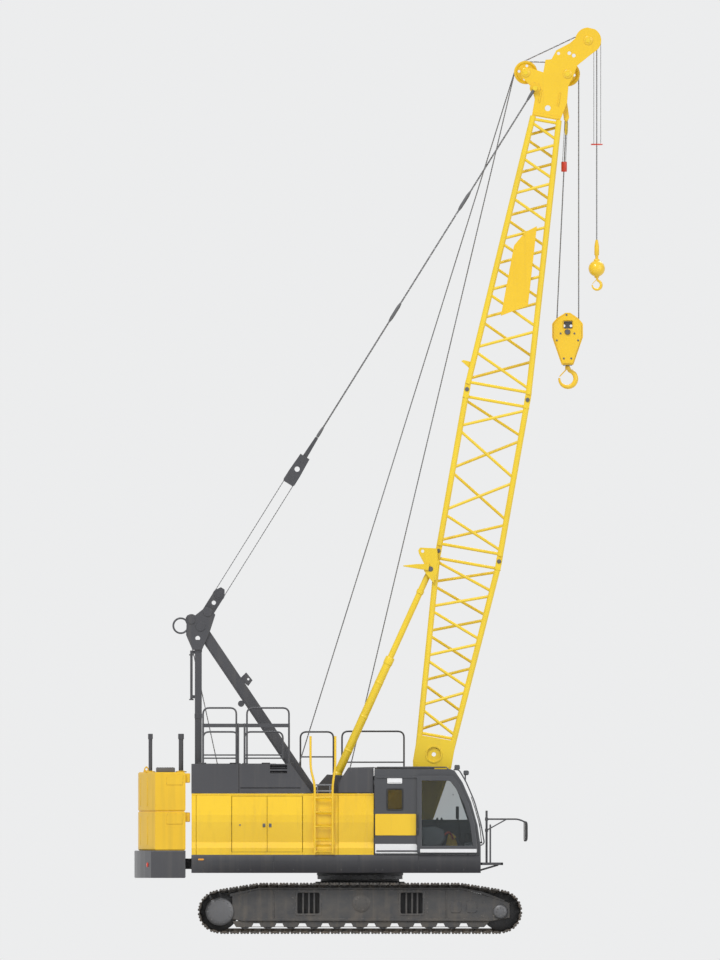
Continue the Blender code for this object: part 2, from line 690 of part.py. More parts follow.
def lattice(low, high, stations):
    """Four chords between two sections (u, half depth, half breadth), laced in zigzags."""
    def corner(u, front, left):
        share = (u - low[0]) / (high[0] - low[0])
        depth = low[1] + (high[1] - low[1]) * share
        breadth = low[2] + (high[2] - low[2]) * share
        return Vector((front * depth, left * breadth, u))

    sides = [(front, left) for front in (-1, 1) for left in (-1, 1)]
    shapes = [rod(corner(low[0], *at), corner(high[0], *at), CHORD_RADIUS, CHORD_SIDES) for at in sides]
    for u in (stations[0], stations[-1]):
        for sign in (-1, 1):
            shapes.append(rod(corner(u, sign, -1), corner(u, sign, 1), LACING_RADIUS, LACING_SIDES))
            shapes.append(rod(corner(u, -1, sign), corner(u, 1, sign), LACING_RADIUS, LACING_SIDES))
    for number, (start, end) in enumerate(zip(stations, stations[1:])):
        swing = 1 if number % 2 else -1
        for sign in (-1, 1):
            shapes.append(rod(corner(start, swing * sign, sign), corner(end, -swing * sign, sign), LACING_RADIUS, LACING_SIDES))
            shapes.append(rod(corner(start, sign, -swing * sign), corner(end, sign, swing * sign), LACING_RADIUS, LACING_SIDES))
    return shapes


def spaced(start, end, count, ratio=1.0):
    """Stations from start to end, each gap ratio times the one before."""
    gaps = [ratio ** number for number in range(count)]
    scale = (end - start) / sum(gaps)
    points = [start]
    for gap in gaps:
        points.append(points[-1] + gap * scale)
    return points


def ears(u, depth, breadth, up):
    """A chord joint: two ears with a pin on the lower section, or a tongue on the upper one."""
    shapes = []
    reach = 0.16
    for front in (-1, 1):
        x = front * depth
        outline = [(x - 0.055, u - up * reach), (x + 0.055, u - up * reach)]
        cap = ring(x, u, 0.055, 3, 0.0, 180.0 * up)
        outline += cap
        for left in (-1, 1):
            y = left * breadth
            if up > 0:
                shapes.append(side(outline, y - 0.06, y - 0.03))
                shapes.append(side(outline, y + 0.03, y + 0.06))
                shapes.append(rod((x, y - 0.07, u), (x, y + 0.07, u), 0.03, 6))
            else:
                shapes.append(side(outline, y - 0.027, y + 0.027, [ring(x, u, bore(0.03, 6), 6)]))
    return shapes


def boom(body):
    """Base, insert, top section and head, pinned at the chords."""
    leg_depth = HALF_DEPTH - (JOINT_1 - LEG_TOP) * (HALF_DEPTH - FOOT_HALF_DEPTH) / JOINT_1
    base = lattice((LEG_TOP - 0.25, leg_depth, HALF_BREADTH), (JOINT_1 - 0.10, HALF_DEPTH, HALF_BREADTH),
                   spaced(LEG_TOP, JOINT_1 - 0.16, 7))
    leg = [(-0.10, 0.0), *ring(0, 0, 0.13, 8, 180.0, 180.0), (leg_depth + 0.06, 1.45),
           (leg_depth + 0.06, LEG_TOP), (-leg_depth - 0.06, LEG_TOP), (-leg_depth - 0.06, 1.45)]
    for sign in (-1, 1):
        edges = sorted((sign * (LEG_Y - 0.065), sign * (LEG_Y + 0.065)))
        base.append(side(leg, *edges, [ring(0, 0, bore(0.05))]))
    for front in (-1, 1):
        x = front * leg_depth
        base.append(block((x - 0.03, -LEG_Y, 1.40), (x + 0.03, LEG_Y, LEG_TOP)))
    base += ears(JOINT_1, HALF_DEPTH, HALF_BREADTH, 1)
    pin_x, pin_u = BACKSTOP_PIN
    rear_chord = -HALF_DEPTH + 0.02
    bracket = [(rear_chord, 4.65), (pin_x - 0.03, pin_u - 0.10), (pin_x - 0.07, pin_u + 0.06), (rear_chord - 0.2, 5.30),
               (rear_chord, 5.25)]
    for sign in (-1, 1):
        for offset in (-0.125, 0.105):
            y = sign * LEG_Y + offset
            base.append(side(bracket, y, y + 0.02))
        base.append(rod((pin_x, sign * LEG_Y - 0.13, pin_u), (pin_x, sign * LEG_Y + 0.13, pin_u), 0.05, 20))
        base.append(block((rear_chord - 0.03, sign * LEG_Y - 0.125, 4.66), (rear_chord + 0.03, sign * LEG_Y + 0.125, 5.25)))
    part("boom_base", body, "yellow", base)

    insert = lattice((JOINT_1 + 0.10, HALF_DEPTH, HALF_BREADTH), (JOINT_2 - 0.10, HALF_DEPTH, HALF_BREADTH),
                     spaced(JOINT_1 + 0.16, JOINT_2 - 0.16, 6))
    insert += ears(JOINT_1, HALF_DEPTH, HALF_BREADTH, -1) + ears(JOINT_2, HALF_DEPTH, HALF_BREADTH, 1)
    part("boom_insert", body, "yellow", insert)

    top = lattice((JOINT_2 + 0.10, HALF_DEPTH, HALF_BREADTH), (LATTICE_TOP + 0.02, TOP_HALF_DEPTH, TOP_HALF_BREADTH),
                  spaced(JOINT_2 + 0.16, LATTICE_TOP - 0.05, 12, 0.98))
    top += ears(JOINT_2, HALF_DEPTH, HALF_BREADTH, -1)
    trim = block((-1.0, -1.0, LATTICE_TOP), (1.0, 1.0, LATTICE_TOP + 1.0))
    part("boom_top", body, "yellow", top, [trim])
    boom_head(body)


def boom_head(body):
    """The welded head: end box, side plates, guide arm, tip arm and stay lugs."""
    bottom = LATTICE_TOP + SEAT
    outline = [
        (-0.27, bottom), (0.27, bottom), (0.34, 14.14), (0.31, 14.45), (0.36, 14.60), (0.41, 14.86),
        (0.66, 15.20), (0.66, 15.45), (0.45, 15.50), (0.25, 15.27), (-0.03, 15.07), (-0.09, 14.89), (-0.20, 14.86),
        (-0.20, 14.62), (-0.45, 14.66), (-0.60, 14.62), (-0.60, 14.48), (-0.42, 14.34), (-0.36, 14.30), (-0.27, 14.09),
    ]
    shapes = []
    for sign in (-1, 1):
        edges = sorted((sign * 0.25, sign * 0.28))
        shapes.append(side(outline, *edges))
    shapes.append(block((-0.27, -0.28, bottom), (0.27, 0.28, 14.12)))
    for x, u in (HEAD_SHAFT, GUIDE_SHAFT, TIP_SHAFT):
        shapes.append(crossbar(x, u, 0.30, 0.045, SHEAVE_STEPS))
    shapes.append(crossbar(-0.1, 14.72, 0.26, 0.04))
    for sign in (-1, 1):
        shapes.append(rod((*STAY_PIN[:1], sign * 0.27, STAY_PIN[1]), (*STAY_PIN[:1], sign * 0.36, STAY_PIN[1]), 0.05, 20))
    anchor = [(0.28, 14.20), (0.34, 14.14), (DEAD_END[0] + 0.05, DEAD_END[1] + 0.04), *ring(*DEAD_END, 0.045, 4, 0.0, -180.0),
              (0.29, 13.95), (0.24, 13.98)]
    shapes += [side(anchor, y - 0.012, y + 0.012) for y in (-0.17, 0.0, 0.17)]
    shapes.append(crossbar(*DEAD_END, 0.19, 0.03, 8))
    access = rod((0.0, -0.4, 13.97), (0.0, 0.4, 13.97), 0.07, 12)
    hollow = block((-0.20, -0.20, bottom - 0.1), (0.20, 0.20, 14.3))
    part("boom_head", body, "yellow", shapes, [access, hollow])


def sheaves(name, body, finish, shaft, rim, groove, places, bar=0.045):
    """Grooved wheels side by side on one hub, turned as one profile about a bar across the machine."""
    x, u = shaft
    hole = socket(bar, SHEAVE_STEPS)
    end = max(places) + 0.05
    profile = [(hole, end), (HUB_RADIUS, end)]
    for y in sorted(places, reverse=True):
        profile += [
            (HUB_RADIUS, y + SHEAVE_HALF), (rim, y + SHEAVE_HALF), (groove, y), (rim, y - SHEAVE_HALF),
            (HUB_RADIUS, y - SHEAVE_HALF),
        ]
    profile += [(HUB_RADIUS, -end), (hole, -end)]
    part(name, body, finish, [turned(profile, across(x, 0, u), SHEAVE_STEPS)])


def backstops(upper):
    """Telescopic struts between the towers and the boom's rear chords."""
    tilt = math.radians(BOOM_TILT)
    pin_x = BOOM_FOOT[0] + BACKSTOP_PIN[0] * math.cos(tilt) + BACKSTOP_PIN[1] * math.sin(tilt)
    pin_z = BOOM_FOOT[1] - BACKSTOP_PIN[0] * math.sin(tilt) + BACKSTOP_PIN[1] * math.cos(tilt)
    run = Vector((pin_x - BACKSTOP_FOOT[0], pin_z - BACKSTOP_FOOT[1]))
    lean = math.degrees(math.atan2(run.x, run.y))
    foot = empty("backstop_foot", upper, (BACKSTOP_FOOT[0], 0.0, BACKSTOP_FOOT[1]), lean)
    rods = empty("backstop_rods", foot, (0.0, 0.0, 0.0))
    reach = run.length - 0.05 - SEAT
    tubes = []
    inner = []
    for sign in (-1, 1):
        y = sign * LEG_Y
        barrel = [(0.095, 2.55), (0.095, 0.16), (0.066, 0.16), (0.066, 2.55)]
        tubes.append(turned(barrel, Matrix.Translation((0, y, 0)), 12))
        eye = ring(0, 0, 0.085, 8, 180.0, 180.0) + [(0.085, 0.2), (-0.085, 0.2)]
        tubes.append(side(eye, y - 0.05, y + 0.05, [ring(0, 0, bore(0.045))]))
        inner.append(rod((0, y, 0.55), (0, y, reach), 0.06, 12))
    tubes.append(crossbar(0, 2.3, LEG_Y - 0.08, 0.03, 8))
    inner.append(crossbar(0, 3.9, LEG_Y, 0.03, 8))
    part("backstop_tubes", foot, "yellow", tubes)
    part("backstop_rods_inner", rods, "yellow", inner)


def stays(upper):
    """The peak sheave block, the spreader and the pendants that hold the boom."""
    tilt = math.radians(BOOM_TILT)
    pin_x = BOOM_FOOT[0] + STAY_PIN[0] * math.cos(tilt) + STAY_PIN[1] * math.sin(tilt)
    pin_z = BOOM_FOOT[1] - STAY_PIN[0] * math.sin(tilt) + STAY_PIN[1] * math.cos(tilt)
    run = Vector((pin_x - PEAK[0], pin_z - PEAK[1]))
    lean = math.degrees(math.atan2(run.x, run.y))
    swing = empty("stay_swing", upper, (PEAK[0], 0.0, PEAK[1]), lean)
    travel = empty("stay_travel", swing, (0.0, 0.0, 0.0))
    hole = bore(0.05)
    strap = ring(0, 0, 0.11, 8, 180.0, 180.0) + [(0.11, 0.42), (0.0, 0.55), (-0.11, 0.42)]
    shapes = [side(strap, y - 0.015, y + 0.015, [ring(0, 0, hole)]) for y in (-0.42, 0.42)]
    shapes.append(crossbar(0, 0.38, 0.45, 0.05))
    part("peak_block", swing, "dark", shapes)
    start, end = SPREADER
    cheek = [(-0.12, start), (0.12, start), (0.10, end), (-0.10, end)]
    shapes = [side(cheek, y - 0.015, y + 0.015) for y in (-0.34, 0.34)]
    shapes += [crossbar(0, start + 0.12, 0.36, 0.06), crossbar(0, end - 0.1, 0.36, 0.04)]
    for y in (-0.3, 0.3):
        shapes.append(side([(-0.05, end - 0.15), (0.05, end - 0.15), (0.03, end + 0.42), (-0.03, end + 0.42)], y - 0.02, y + 0.02))
    part("spreader", travel, "dark", shapes)
    reach = run.length - 0.05 - SEAT
    for name, y in (("right_pendant", -0.32), ("left_pendant", 0.32)):
        shapes = [
            rod((0, y * 0.9375, end + 0.42 + SEAT), (0, y, reach), 0.018, 8),
            rod((0, y, reach - 0.25), (0, y, reach), 0.035, 8),
            rod((0, y * 0.9375, end + 0.42 + SEAT), (0, y * 0.9375, end + 0.65), 0.035, 8),
        ]
        part(name, travel, "steel", shapes)


def main_hook(boom_body):
    """Falls over the head sheaves, the block and its swivelling hook, kept plumb."""
    x, u = HEAD_SHAFT
    plumb = empty("main_line", boom_body, (x, 0.0, u), -BOOM_TILT)
    tilt = math.radians(BOOM_TILT)
    shaft_z = BOOM_FOOT[1] - x * math.sin(tilt) + u * math.cos(tilt)
    drop = BLOCK_SHAFT_Z - shaft_z
    radius = HEAD_SHEAVE_RADIUS
    anchor = Vector((DEAD_END[0] - x, DEAD_END[1] - u))
    anchor = Vector((
        anchor.x * math.cos(tilt) + anchor.y * math.sin(tilt), anchor.y * math.cos(tilt) - anchor.x * math.sin(tilt)
    ))
    for name, y in (("right_main_fall", -SHEAVE_Y), ("left_main_fall", SHEAVE_Y)):
        path = [(a, y, b) for a, b in ring(0, 0, radius, 15, 150.0, -150.0)]
        path += [(a, y, b + drop) for a, b in ring(0, 0, radius, 18, 0.0, -180.0)]
        path.append((anchor.x, y, anchor.y - 0.03 - SEAT - ROPE_RADIUS))
        part(name, plumb, "steel", [tube(path, ROPE_RADIUS)])
    blocks = empty("main_block", plumb, (0.0, 0.0, drop))
    cheek = [(-0.04, 0.36), (0.05, 0.36), (0.29, 0.18), (0.29, -0.10), (0.11, -0.62), (-0.11, -0.62), (-0.29, -0.10),
             (-0.29, 0.18)]
    shapes = []
    for sign in (-1, 1):
        edges = sorted((sign * 0.15, sign * 0.20))
        shapes.append(side(cheek, *edges))
    shapes.append(crossbar(0, 0, 0.23, 0.05, SHEAVE_STEPS))
    shapes.append(block((-0.10, -0.16, -0.60), (0.10, 0.16, -0.42)))
    shapes.append(crossbar(-0.02, 0.32, 0.16, 0.03))
    well = rod((0, 0, -0.8), (0, 0, -0.3), 0.045, 12)
    part("hook_block", blocks, "yellow", shapes, [well])
    sheaves("block_sheaves", blocks, "grey", (0.0, 0.0), 0.235, 0.180, (-SHEAVE_Y, SHEAVE_Y), 0.05)
    swivel = empty("main_hook_swivel", blocks, (0.0, 0.0, -0.62))
    hook = [
        rod((0, 0, 0.26), (0, 0, -0.12), 0.036, 12),
        rod((0, 0, 0.20 + SEAT), (0, 0, 0.26), 0.07, 12),
        tube(hook_path(0.155, -0.26), 0.055, smooth=2),
    ]
    part("main_hook", swivel, "yellow", hook)


def hook_path(radius, centre_z):
    """The centre line of a hook: down the shank, round the bowl and up to the tip."""
    points = [(0.0, 0.0, centre_z + radius * 1.5)]
    for step in range(11):
        angle = math.radians(75.0 - 26.0 * step)
        points.append((radius * math.cos(angle), 0.0, centre_z + radius * math.sin(angle)))
    return points


def ball_hook(boom_body):
    """The single line from the tip sheave with its ball and hook."""
    x, u = TIP_SHAFT
    plumb = empty("tip_line", boom_body, (x, 0.0, u), -BOOM_TILT)
    tilt = math.radians(BOOM_TILT)
    shaft_z = BOOM_FOOT[1] - x * math.sin(tilt) + u * math.cos(tilt)
    drop = BALL_Z - shaft_z
    r = TIP_ROPE_RADIUS
    path = [(a, 0.0, b) for a, b in ring(0, 0, r, 11, 110.0, -110.0)]
    path.append((r, 0.0, drop + 0.55))
    part("tip_rope", plumb, "steel", [tube(path, ROPE_RADIUS)])
    ball = empty("ball", plumb, (r, 0.0, drop))
    sphere = [(0.0, BALL_RADIUS), *[(a, b) for a, b in ring(0, 0, BALL_RADIUS, 4, 60.0, -120.0)], (0.0, -BALL_RADIUS)]
    shapes = [
        turned(sphere, Matrix(), 12),
        turned([(0.0, 0.55 - SEAT), (0.03, 0.55 - SEAT), (0.045, 0.3), (0.045, 0.1), (0.0, 0.1)], Matrix(), 8),
        rod((0, 0, -0.1), (0, 0, -0.2), 0.03, 10),
        tube(hook_path(0.085, -0.31), 0.032, smooth=2),
    ]
    part("ball_hook", ball, "yellow", shapes)


def ladder(body):
    """The boarding ladder on the right side with its grab posts."""
    y = -HALF_WIDTH - 0.05
    shapes = []
    for x, top_x in ((-0.85, -0.93), (-0.515, -0.465)):
        path = [(x, y, 1.53), (x, y, 2.82), (top_x, y, 3.10), (top_x, y, 3.72)]
        shapes.append(tube(path, 0.022))
        for z in (1.60, 2.55):
            shapes.append(block((x - 0.02, y, z), (x + 0.02, -HALF_WIDTH - SEAT, z + 0.04)))
    for z in (1.55, 1.76, 2.02, 2.29, 2.56):
        shapes.append(rod((-0.85, y, z), (-0.515, y, z), 0.014, 6))
    part("ladder", body, "yellow", shapes)


def handrail(name, body, sign):
    """Guard rails along the outer edge of the roof walkways."""
    y = sign * (HALF_WIDTH - 0.08)
    foot = COVER_TOP + SEAT
    shapes = []
    posts = spaced(REAR_X + 0.2, -1.45, 3)
    for x in posts:
        shapes.append(rod((x, y, foot), (x, y, 4.25), 0.016, 6))
    for z in (3.75, 4.25):
        shapes.append(rod((posts[0], y, z), (posts[-1], y, z), 0.016, 6))
    part(name, body, "rail", shapes)


def mirror_stay(body):
    """Post, arm and mirror ahead of the cab, on the front step."""
    y = 0.15 - HALF_WIDTH
    shapes = [
        block((FRONT_X + SEAT, -HALF_WIDTH, 1.30), (FRONT_X + 0.42, -0.8, 1.34)),
        block((FRONT_X + SEAT, -1.5, 1.2), (FRONT_X + 0.2, -0.9, 1.32)),
        rod((2.38, y, 1.32), (2.38, y, 2.32), 0.022, 8),
        rod((2.38, y, 2.16), (3.13, y, 2.16), 0.02, 8),
        rod((2.38, y, 1.95), (2.75, y, 2.16), 0.014, 6),
        rod((3.13, y, 2.18), (3.13, y, 2.08), 0.014, 6),
        block((3.09, y - 0.09, 1.74), (3.14, y + 0.09, 2.12)),
    ]
    part("mirror_stay", body, "dark", shapes)


def build():
    """Put the whole crane together, body by body."""
    base = empty("crane", None, (-ORIGIN_X, 0.0, 0.0))
    for prefix, sign in (("right", -1), ("left", 1)):
        y = sign * TRACK_GAUGE / 2
        track(prefix + "_track", base, y)
        side_frame(prefix + "_side_frame", base, y)
    carbody(base)
    upper = empty("upper", base, (0.0, 0.0, 0.0))
    revolving_frame(upper)
    winches(upper)
    house("right", upper, -1, HOUSE_FRONT)
    house("left", upper, 1, HOUSE_FRONT + PANEL)
    engine_low = (-2.45, 0.18 - HALF_WIDTH, DECK_HIGH + SEAT)
    part("engine", upper, "grey", [block(engine_low, (-1.15, -0.12 - CHANNEL_HALF, 2.4))])
    counterweight(upper)
    gantry(upper)
    cab(upper)
    ladder(upper)
    mirror_stay(upper)
    for prefix, sign in (("right", -1), ("left", 1)):
        handrail(prefix + "_handrail", upper, sign)
    backstops(upper)
    stays(upper)
    boom_body = empty("boom", upper, (BOOM_FOOT[0], 0.0, BOOM_FOOT[1]), BOOM_TILT)
    boom(boom_body)
    sheaves("head_sheaves", boom_body, "yellow", HEAD_SHAFT, 0.235, 0.180, (-SHEAVE_Y, SHEAVE_Y))
    sheaves("guide_sheaves", boom_body, "yellow", GUIDE_SHAFT, 0.22, 0.18, (-0.08, 0.08))
    sheaves("tip_sheave", boom_body, "yellow", TIP_SHAFT, 0.20, 0.113, (0.0,))
    main_hook(boom_body)
    ball_hook(boom_body)
    bpy.data.collections.remove(WORKSHOP)


build()
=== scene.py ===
"""Looks of the lattice-boom crawler crane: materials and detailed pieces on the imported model, in metres."""
import json
import math

import bmesh
import bpy
from mathutils import Matrix, Vector


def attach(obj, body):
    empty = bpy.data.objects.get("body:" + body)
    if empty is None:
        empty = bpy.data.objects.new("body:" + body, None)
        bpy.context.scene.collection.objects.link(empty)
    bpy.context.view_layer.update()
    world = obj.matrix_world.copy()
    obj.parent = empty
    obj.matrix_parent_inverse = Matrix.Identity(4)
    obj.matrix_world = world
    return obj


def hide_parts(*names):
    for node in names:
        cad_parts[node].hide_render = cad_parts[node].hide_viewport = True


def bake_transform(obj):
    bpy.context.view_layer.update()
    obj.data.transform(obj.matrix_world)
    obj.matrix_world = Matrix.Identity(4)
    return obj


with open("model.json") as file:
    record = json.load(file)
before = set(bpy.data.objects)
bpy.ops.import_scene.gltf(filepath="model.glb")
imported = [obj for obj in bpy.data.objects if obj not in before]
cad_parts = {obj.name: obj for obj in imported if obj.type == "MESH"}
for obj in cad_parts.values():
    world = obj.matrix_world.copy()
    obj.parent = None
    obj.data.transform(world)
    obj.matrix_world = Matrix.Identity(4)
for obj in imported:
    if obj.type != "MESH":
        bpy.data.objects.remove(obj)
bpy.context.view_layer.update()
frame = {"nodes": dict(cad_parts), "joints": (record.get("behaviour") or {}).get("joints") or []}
JOINTS = {joint["name"]: joint for joint in frame["joints"]}

# Camera and light
PIXEL = 0.0188           # metres in one pixel of the photograph
FRAME_HEIGHT = 960
VIEW_HEIGHT = 8.535      # height of the camera's axis

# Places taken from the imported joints, in the row's frame
SWING = Matrix.Translation(JOINTS["swing"]["pos_m"])
BOOM_TILT = math.radians(10.0)


def at(x, y, z):
    """A frame moved to a point."""
    return Matrix.Translation((x, y, z))


def turned(degrees, axis):
    """A frame turned about one of its axes."""
    return Matrix.Rotation(math.radians(degrees), 4, axis)


def leaning(pivot, direction):
    """A frame at a joint whose Z axis runs along a direction in the side view."""
    lean = math.atan2(direction[0], direction[2])
    return Matrix.Translation(JOINTS[pivot]["pos_m"]) @ Matrix.Rotation(lean, 4, "Y")


BOOM = Matrix.Translation(JOINTS["boom_luff"]["pos_m"]) @ Matrix.Rotation(BOOM_TILT, 4, "Y")
STAY = leaning("stay_swing", JOINTS["stay_travel"]["axis"])
STOP = leaning("backstop_swing", JOINTS["backstop_travel"]["axis"])
HEAD = Matrix.Translation(JOINTS["main_line_plumb"]["pos_m"])
TIP = Matrix.Translation(JOINTS["tip_line_plumb"]["pos_m"])
SWIVEL = Matrix.Translation(JOINTS["main_hook_swivel"]["pos_m"])
ENDWISE = Matrix(((0, 0, 1, 0), (1, 0, 0, 0), (0, 1, 0, 0), (0, 0, 0, 1)))

# Main sizes, for the most part as in the part's source
END_X = 2.64             # shaft of each end wheel, ahead of the middle and behind it
TRACK_END_RADIUS = 0.42
TRACK_Y = 2.02
BEAM_HALF = 0.26         # half the width of a crawler's frame
WINDOW_X = 0.97          # middle of each window in the frame
ROLLER_SPAN = 4.33       # between the first roller and the last
SHOE_WIDTH = 0.915
SHOE_PITCH = 0.19
SHOE_THICKNESS = 0.055
TRACK_CROWN = 0.125
CROWN_HALF = 1.90
REAR_X = -3.17
STUD_Y = 1.05            # of the posts on the counterweight, to each side
REAR_RADIUS = 4.17       # of the counterweight's round back
FRONT_X = 2.27
HALF_WIDTH = 1.60
CHANNEL_HALF = 0.78
PANEL = 0.667
HOUSE_TOP = 2.643
COVER_TOP = 3.20
DECK_HIGH = 1.489
HOUSE_FRONT = 0.262
JOINT_1 = 5.42
JOINT_2 = 8.505
LATTICE_TOP = 13.78
LEG_TOP = 1.95
HALF_DEPTH = 0.578       # read off the photograph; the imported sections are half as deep
HALF_BREADTH = 0.62
FOOT_HALF_DEPTH = 0.155
TOP_HALF_DEPTH = 0.246
TOP_HALF_BREADTH = 0.26
CHORD_RADIUS = 0.056
LEG_Y = 0.62
LACING_GAP = 0.09
EAR_REACH = 0.16
FOOT_HOLE = (1.635, 0.13)
HEAD_SHAFT = (0.254, 14.668)
GUIDE_SHAFT = (-0.525, 14.559)
TIP_SHAFT = (0.528, 15.357)
STAY_PIN = (-0.302, 14.302)
BACKSTOP_PIN = (-0.666, 5.056)
DEAD_END = (0.377, 13.83)
PLATE_U = 10.84          # middle of the bare plate on the right face
FALL_RADIUS = 0.21       # of a rope's centre line round a main sheave
FALL_Y = 0.09            # of the two main sheaves, to each side
TIP_ROPE_RADIUS = 0.16
BLOCK_SHAFT_Z = 11.32
BALL_Z = 12.51
BALL_RADIUS = 0.155
STRUT_FOOT = (-0.79, 2.48)
STRUT_TOP = (-2.80, 5.46)
DRUMS = {
    "rear_hoist_drum": (-1.14, 2.25, 0.25, 0.35),
    "front_hoist_drum": (-0.10, 2.25, 0.25, 0.35),
    "boom_hoist_drum": (-2.20, 2.02, 0.20, 0.30),
}
PEAK = (-2.86, 6.05)
LEAD_SHAFT = (-3.17, 5.9)
LEAD_Y = 0.33            # of the boom hoist rope on its way up
REEVE_SHAFT = (-3.0, 5.78)
POST_X = -3.04
ROD_X = -3.17            # of the rods behind the posts
SEATING = 0.0003         # play under a piece that rests on another
PLAY = 0.006             # round each house door
DOOR_X = REAR_X + 0.09 + PANEL
HOUSE_BASE = DECK_HIGH + SEATING
DOOR_LOW = HOUSE_BASE + 0.05
DOOR_HIGH = HOUSE_TOP - 0.05
SKIN = (                 # how far a house's outer face stands in, and at what height
    (0.0, 1.0), (0.0, 1.617), (0.055, 1.725), (0.0, 2.10), (0.0, 2.237), (0.075, HOUSE_TOP),
)
COVER_Y = 1.545          # outer face of the dark top covers
RAIL_Y = 1.49            # of the rails, to each side
RAIL_TOP = 4.25
MIRROR_POST = (2.38, -1.45)
GUARD_Y = (-1.58, -0.83)  # of the bars in front of the windscreen
CAB_FACE = -1.62         # the cab's right side
CAB_LAMPS = ((1.83, -1.52, 3.135), (1.83, -0.90, 3.135), (2.00, -1.52, 3.03), (2.00, -0.90, 3.03))
DOOR_FACE = -1.6823      # outer face of the cab's sliding door
ROPE_RADIUS = 0.013


# Materials

def ramp(tree, value, low, high):
    """Stretch a value between two limits to 0 and 1."""
    node = tree.nodes.new("ShaderNodeMapRange")
    tree.links.new(value, node.inputs["Value"])
    node.inputs["From Min"].default_value = low
    node.inputs["From Max"].default_value = high
    return node.outputs["Result"]


def noise(tree, coords, scale, detail=3.0, stretch=None):
    """Noise over the piece, in repeats per metre, squeezed or stretched along the axes."""
    if stretch:
        mapping = tree.nodes.new("ShaderNodeMapping")
        mapping.inputs["Scale"].default_value = stretch
        tree.links.new(coords, mapping.inputs["Vector"])
        coords = mapping.outputs["Vector"]
    node = tree.nodes.new("ShaderNodeTexNoise")
    node.inputs["Scale"].default_value = scale
    node.inputs["Detail"].default_value = detail
    tree.links.new(coords, node.inputs["Vector"])
    return node.outputs["Fac"]


def maths(tree, operation, first, second):
    """One sum on two values or numbers."""
    node = tree.nodes.new("ShaderNodeMath")
    node.operation = operation
    node.use_clamp = True
    for socket, value in zip(node.inputs, (first, second)):
        if isinstance(value, (int, float)):
            socket.default_value = value
        else:
            tree.links.new(value, socket)
    return node.outputs["Value"]


def mixed(tree, factor, first, second):
    """Blend two colours, given as sockets or as numbers."""
    node = tree.nodes.new("ShaderNodeMix")
    node.data_type = "RGBA"
    tree.links.new(factor, node.inputs["Factor"])
    for socket, value in ((node.inputs[6], first), (node.inputs[7], second)):
        if isinstance(value, tuple):
            socket.default_value = (*value, 1.0)
        else:
            tree.links.new(value, socket)
    return node.outputs[2]


def surface(name, colour, rough=0.4, metal=0.0, shade=None, dirt=(0.10, 0.085, 0.065), soil=0.25, dust=0.0,
            edge=None, worn=0.4, grain=(180.0, 0.12, 0.0006), coat=0.0):
    """A finish with broad fading, run-down streaks, settled dust, fine grain and worn edges."""
    material = bpy.data.materials.new(name)
    material.use_nodes = True
    tree = material.node_tree
    shader = tree.nodes["Principled BSDF"]
    coords = tree.nodes.new("ShaderNodeTexCoord").outputs["Object"]
    broad = ramp(tree, noise(tree, coords, 0.8, 4.0), 0.35, 0.7)
    tint = mixed(tree, maths(tree, "MULTIPLY", broad, 0.6), colour,
                 shade or tuple(0.8 * part for part in colour))
    speckle = ramp(tree, noise(tree, coords, 55.0, 4.0), 0.55, 0.8)
    streak = ramp(tree, noise(tree, coords, 1.0, 5.0, (9.0, 9.0, 0.5)), 0.52, 0.82)
    grime = maths(tree, "MULTIPLY", maths(tree, "ADD", streak, maths(tree, "MULTIPLY", speckle, 0.35)), soil)
    if dust:
        split = tree.nodes.new("ShaderNodeSeparateXYZ")
        tree.links.new(coords, split.inputs["Vector"])
        low = ramp(tree, split.outputs["Z"], 1.1, 0.0)
        cloud = ramp(tree, noise(tree, coords, 6.0, 6.0), 0.3, 0.75)
        settled = maths(tree, "MULTIPLY", maths(tree, "MULTIPLY", low, cloud), dust)
        grime = maths(tree, "ADD", grime, settled)
    tint = mixed(tree, grime, tint, dirt)
    if edge:
        bevel = tree.nodes.new("ShaderNodeBevel")
        bevel.samples = 3
        bevel.inputs["Radius"].default_value = 0.012
        flat = tree.nodes.new("ShaderNodeNewGeometry")
        compare = tree.nodes.new("ShaderNodeVectorMath")
        compare.operation = "DOT_PRODUCT"
        tree.links.new(bevel.outputs["Normal"], compare.inputs[0])
        tree.links.new(flat.outputs["Normal"], compare.inputs[1])
        bend = ramp(tree, compare.outputs["Value"], 0.97, 0.80)
        patch = ramp(tree, noise(tree, coords, 22.0, 5.0), 0.5, 0.62)
        rubbed = maths(tree, "MULTIPLY", maths(tree, "MULTIPLY", bend, patch), worn)
        tint = mixed(tree, rubbed, tint, edge)
    tree.links.new(tint, shader.inputs["Base Color"])
    gloss = tree.nodes.new("ShaderNodeMapRange")
    gloss.inputs["To Min"].default_value = max(rough - 0.08, 0.03)
    gloss.inputs["To Max"].default_value = min(rough + 0.22, 1.0)
    tree.links.new(maths(tree, "ADD", grime, maths(tree, "MULTIPLY", broad, 0.2)), gloss.inputs["Value"])
    tree.links.new(gloss.outputs["Result"], shader.inputs["Roughness"])
    bump = tree.nodes.new("ShaderNodeBump")
    bump.inputs["Strength"].default_value = grain[1]
    bump.inputs["Distance"].default_value = grain[2]
    tree.links.new(noise(tree, coords, grain[0], 4.0), bump.inputs["Height"])
    tree.links.new(bump.outputs["Normal"], shader.inputs["Normal"])
    shader.inputs["Metallic"].default_value = metal
    shader.inputs["Coat Weight"].default_value = coat
    return material


def tinted_glass(name, colour):
    """Smooth tinted safety glass, faintly dusty."""
    material = surface(name, colour, rough=0.05, soil=0.10, dirt=(0.35, 0.33, 0.30),
                       grain=(6.0, 0.04, 0.002))
    shader = material.node_tree.nodes["Principled BSDF"]
    shader.inputs["Transmission Weight"].default_value = 0.85
    shader.inputs["Alpha"].default_value = 0.55
    shader.inputs["IOR"].default_value = 1.5
    return material


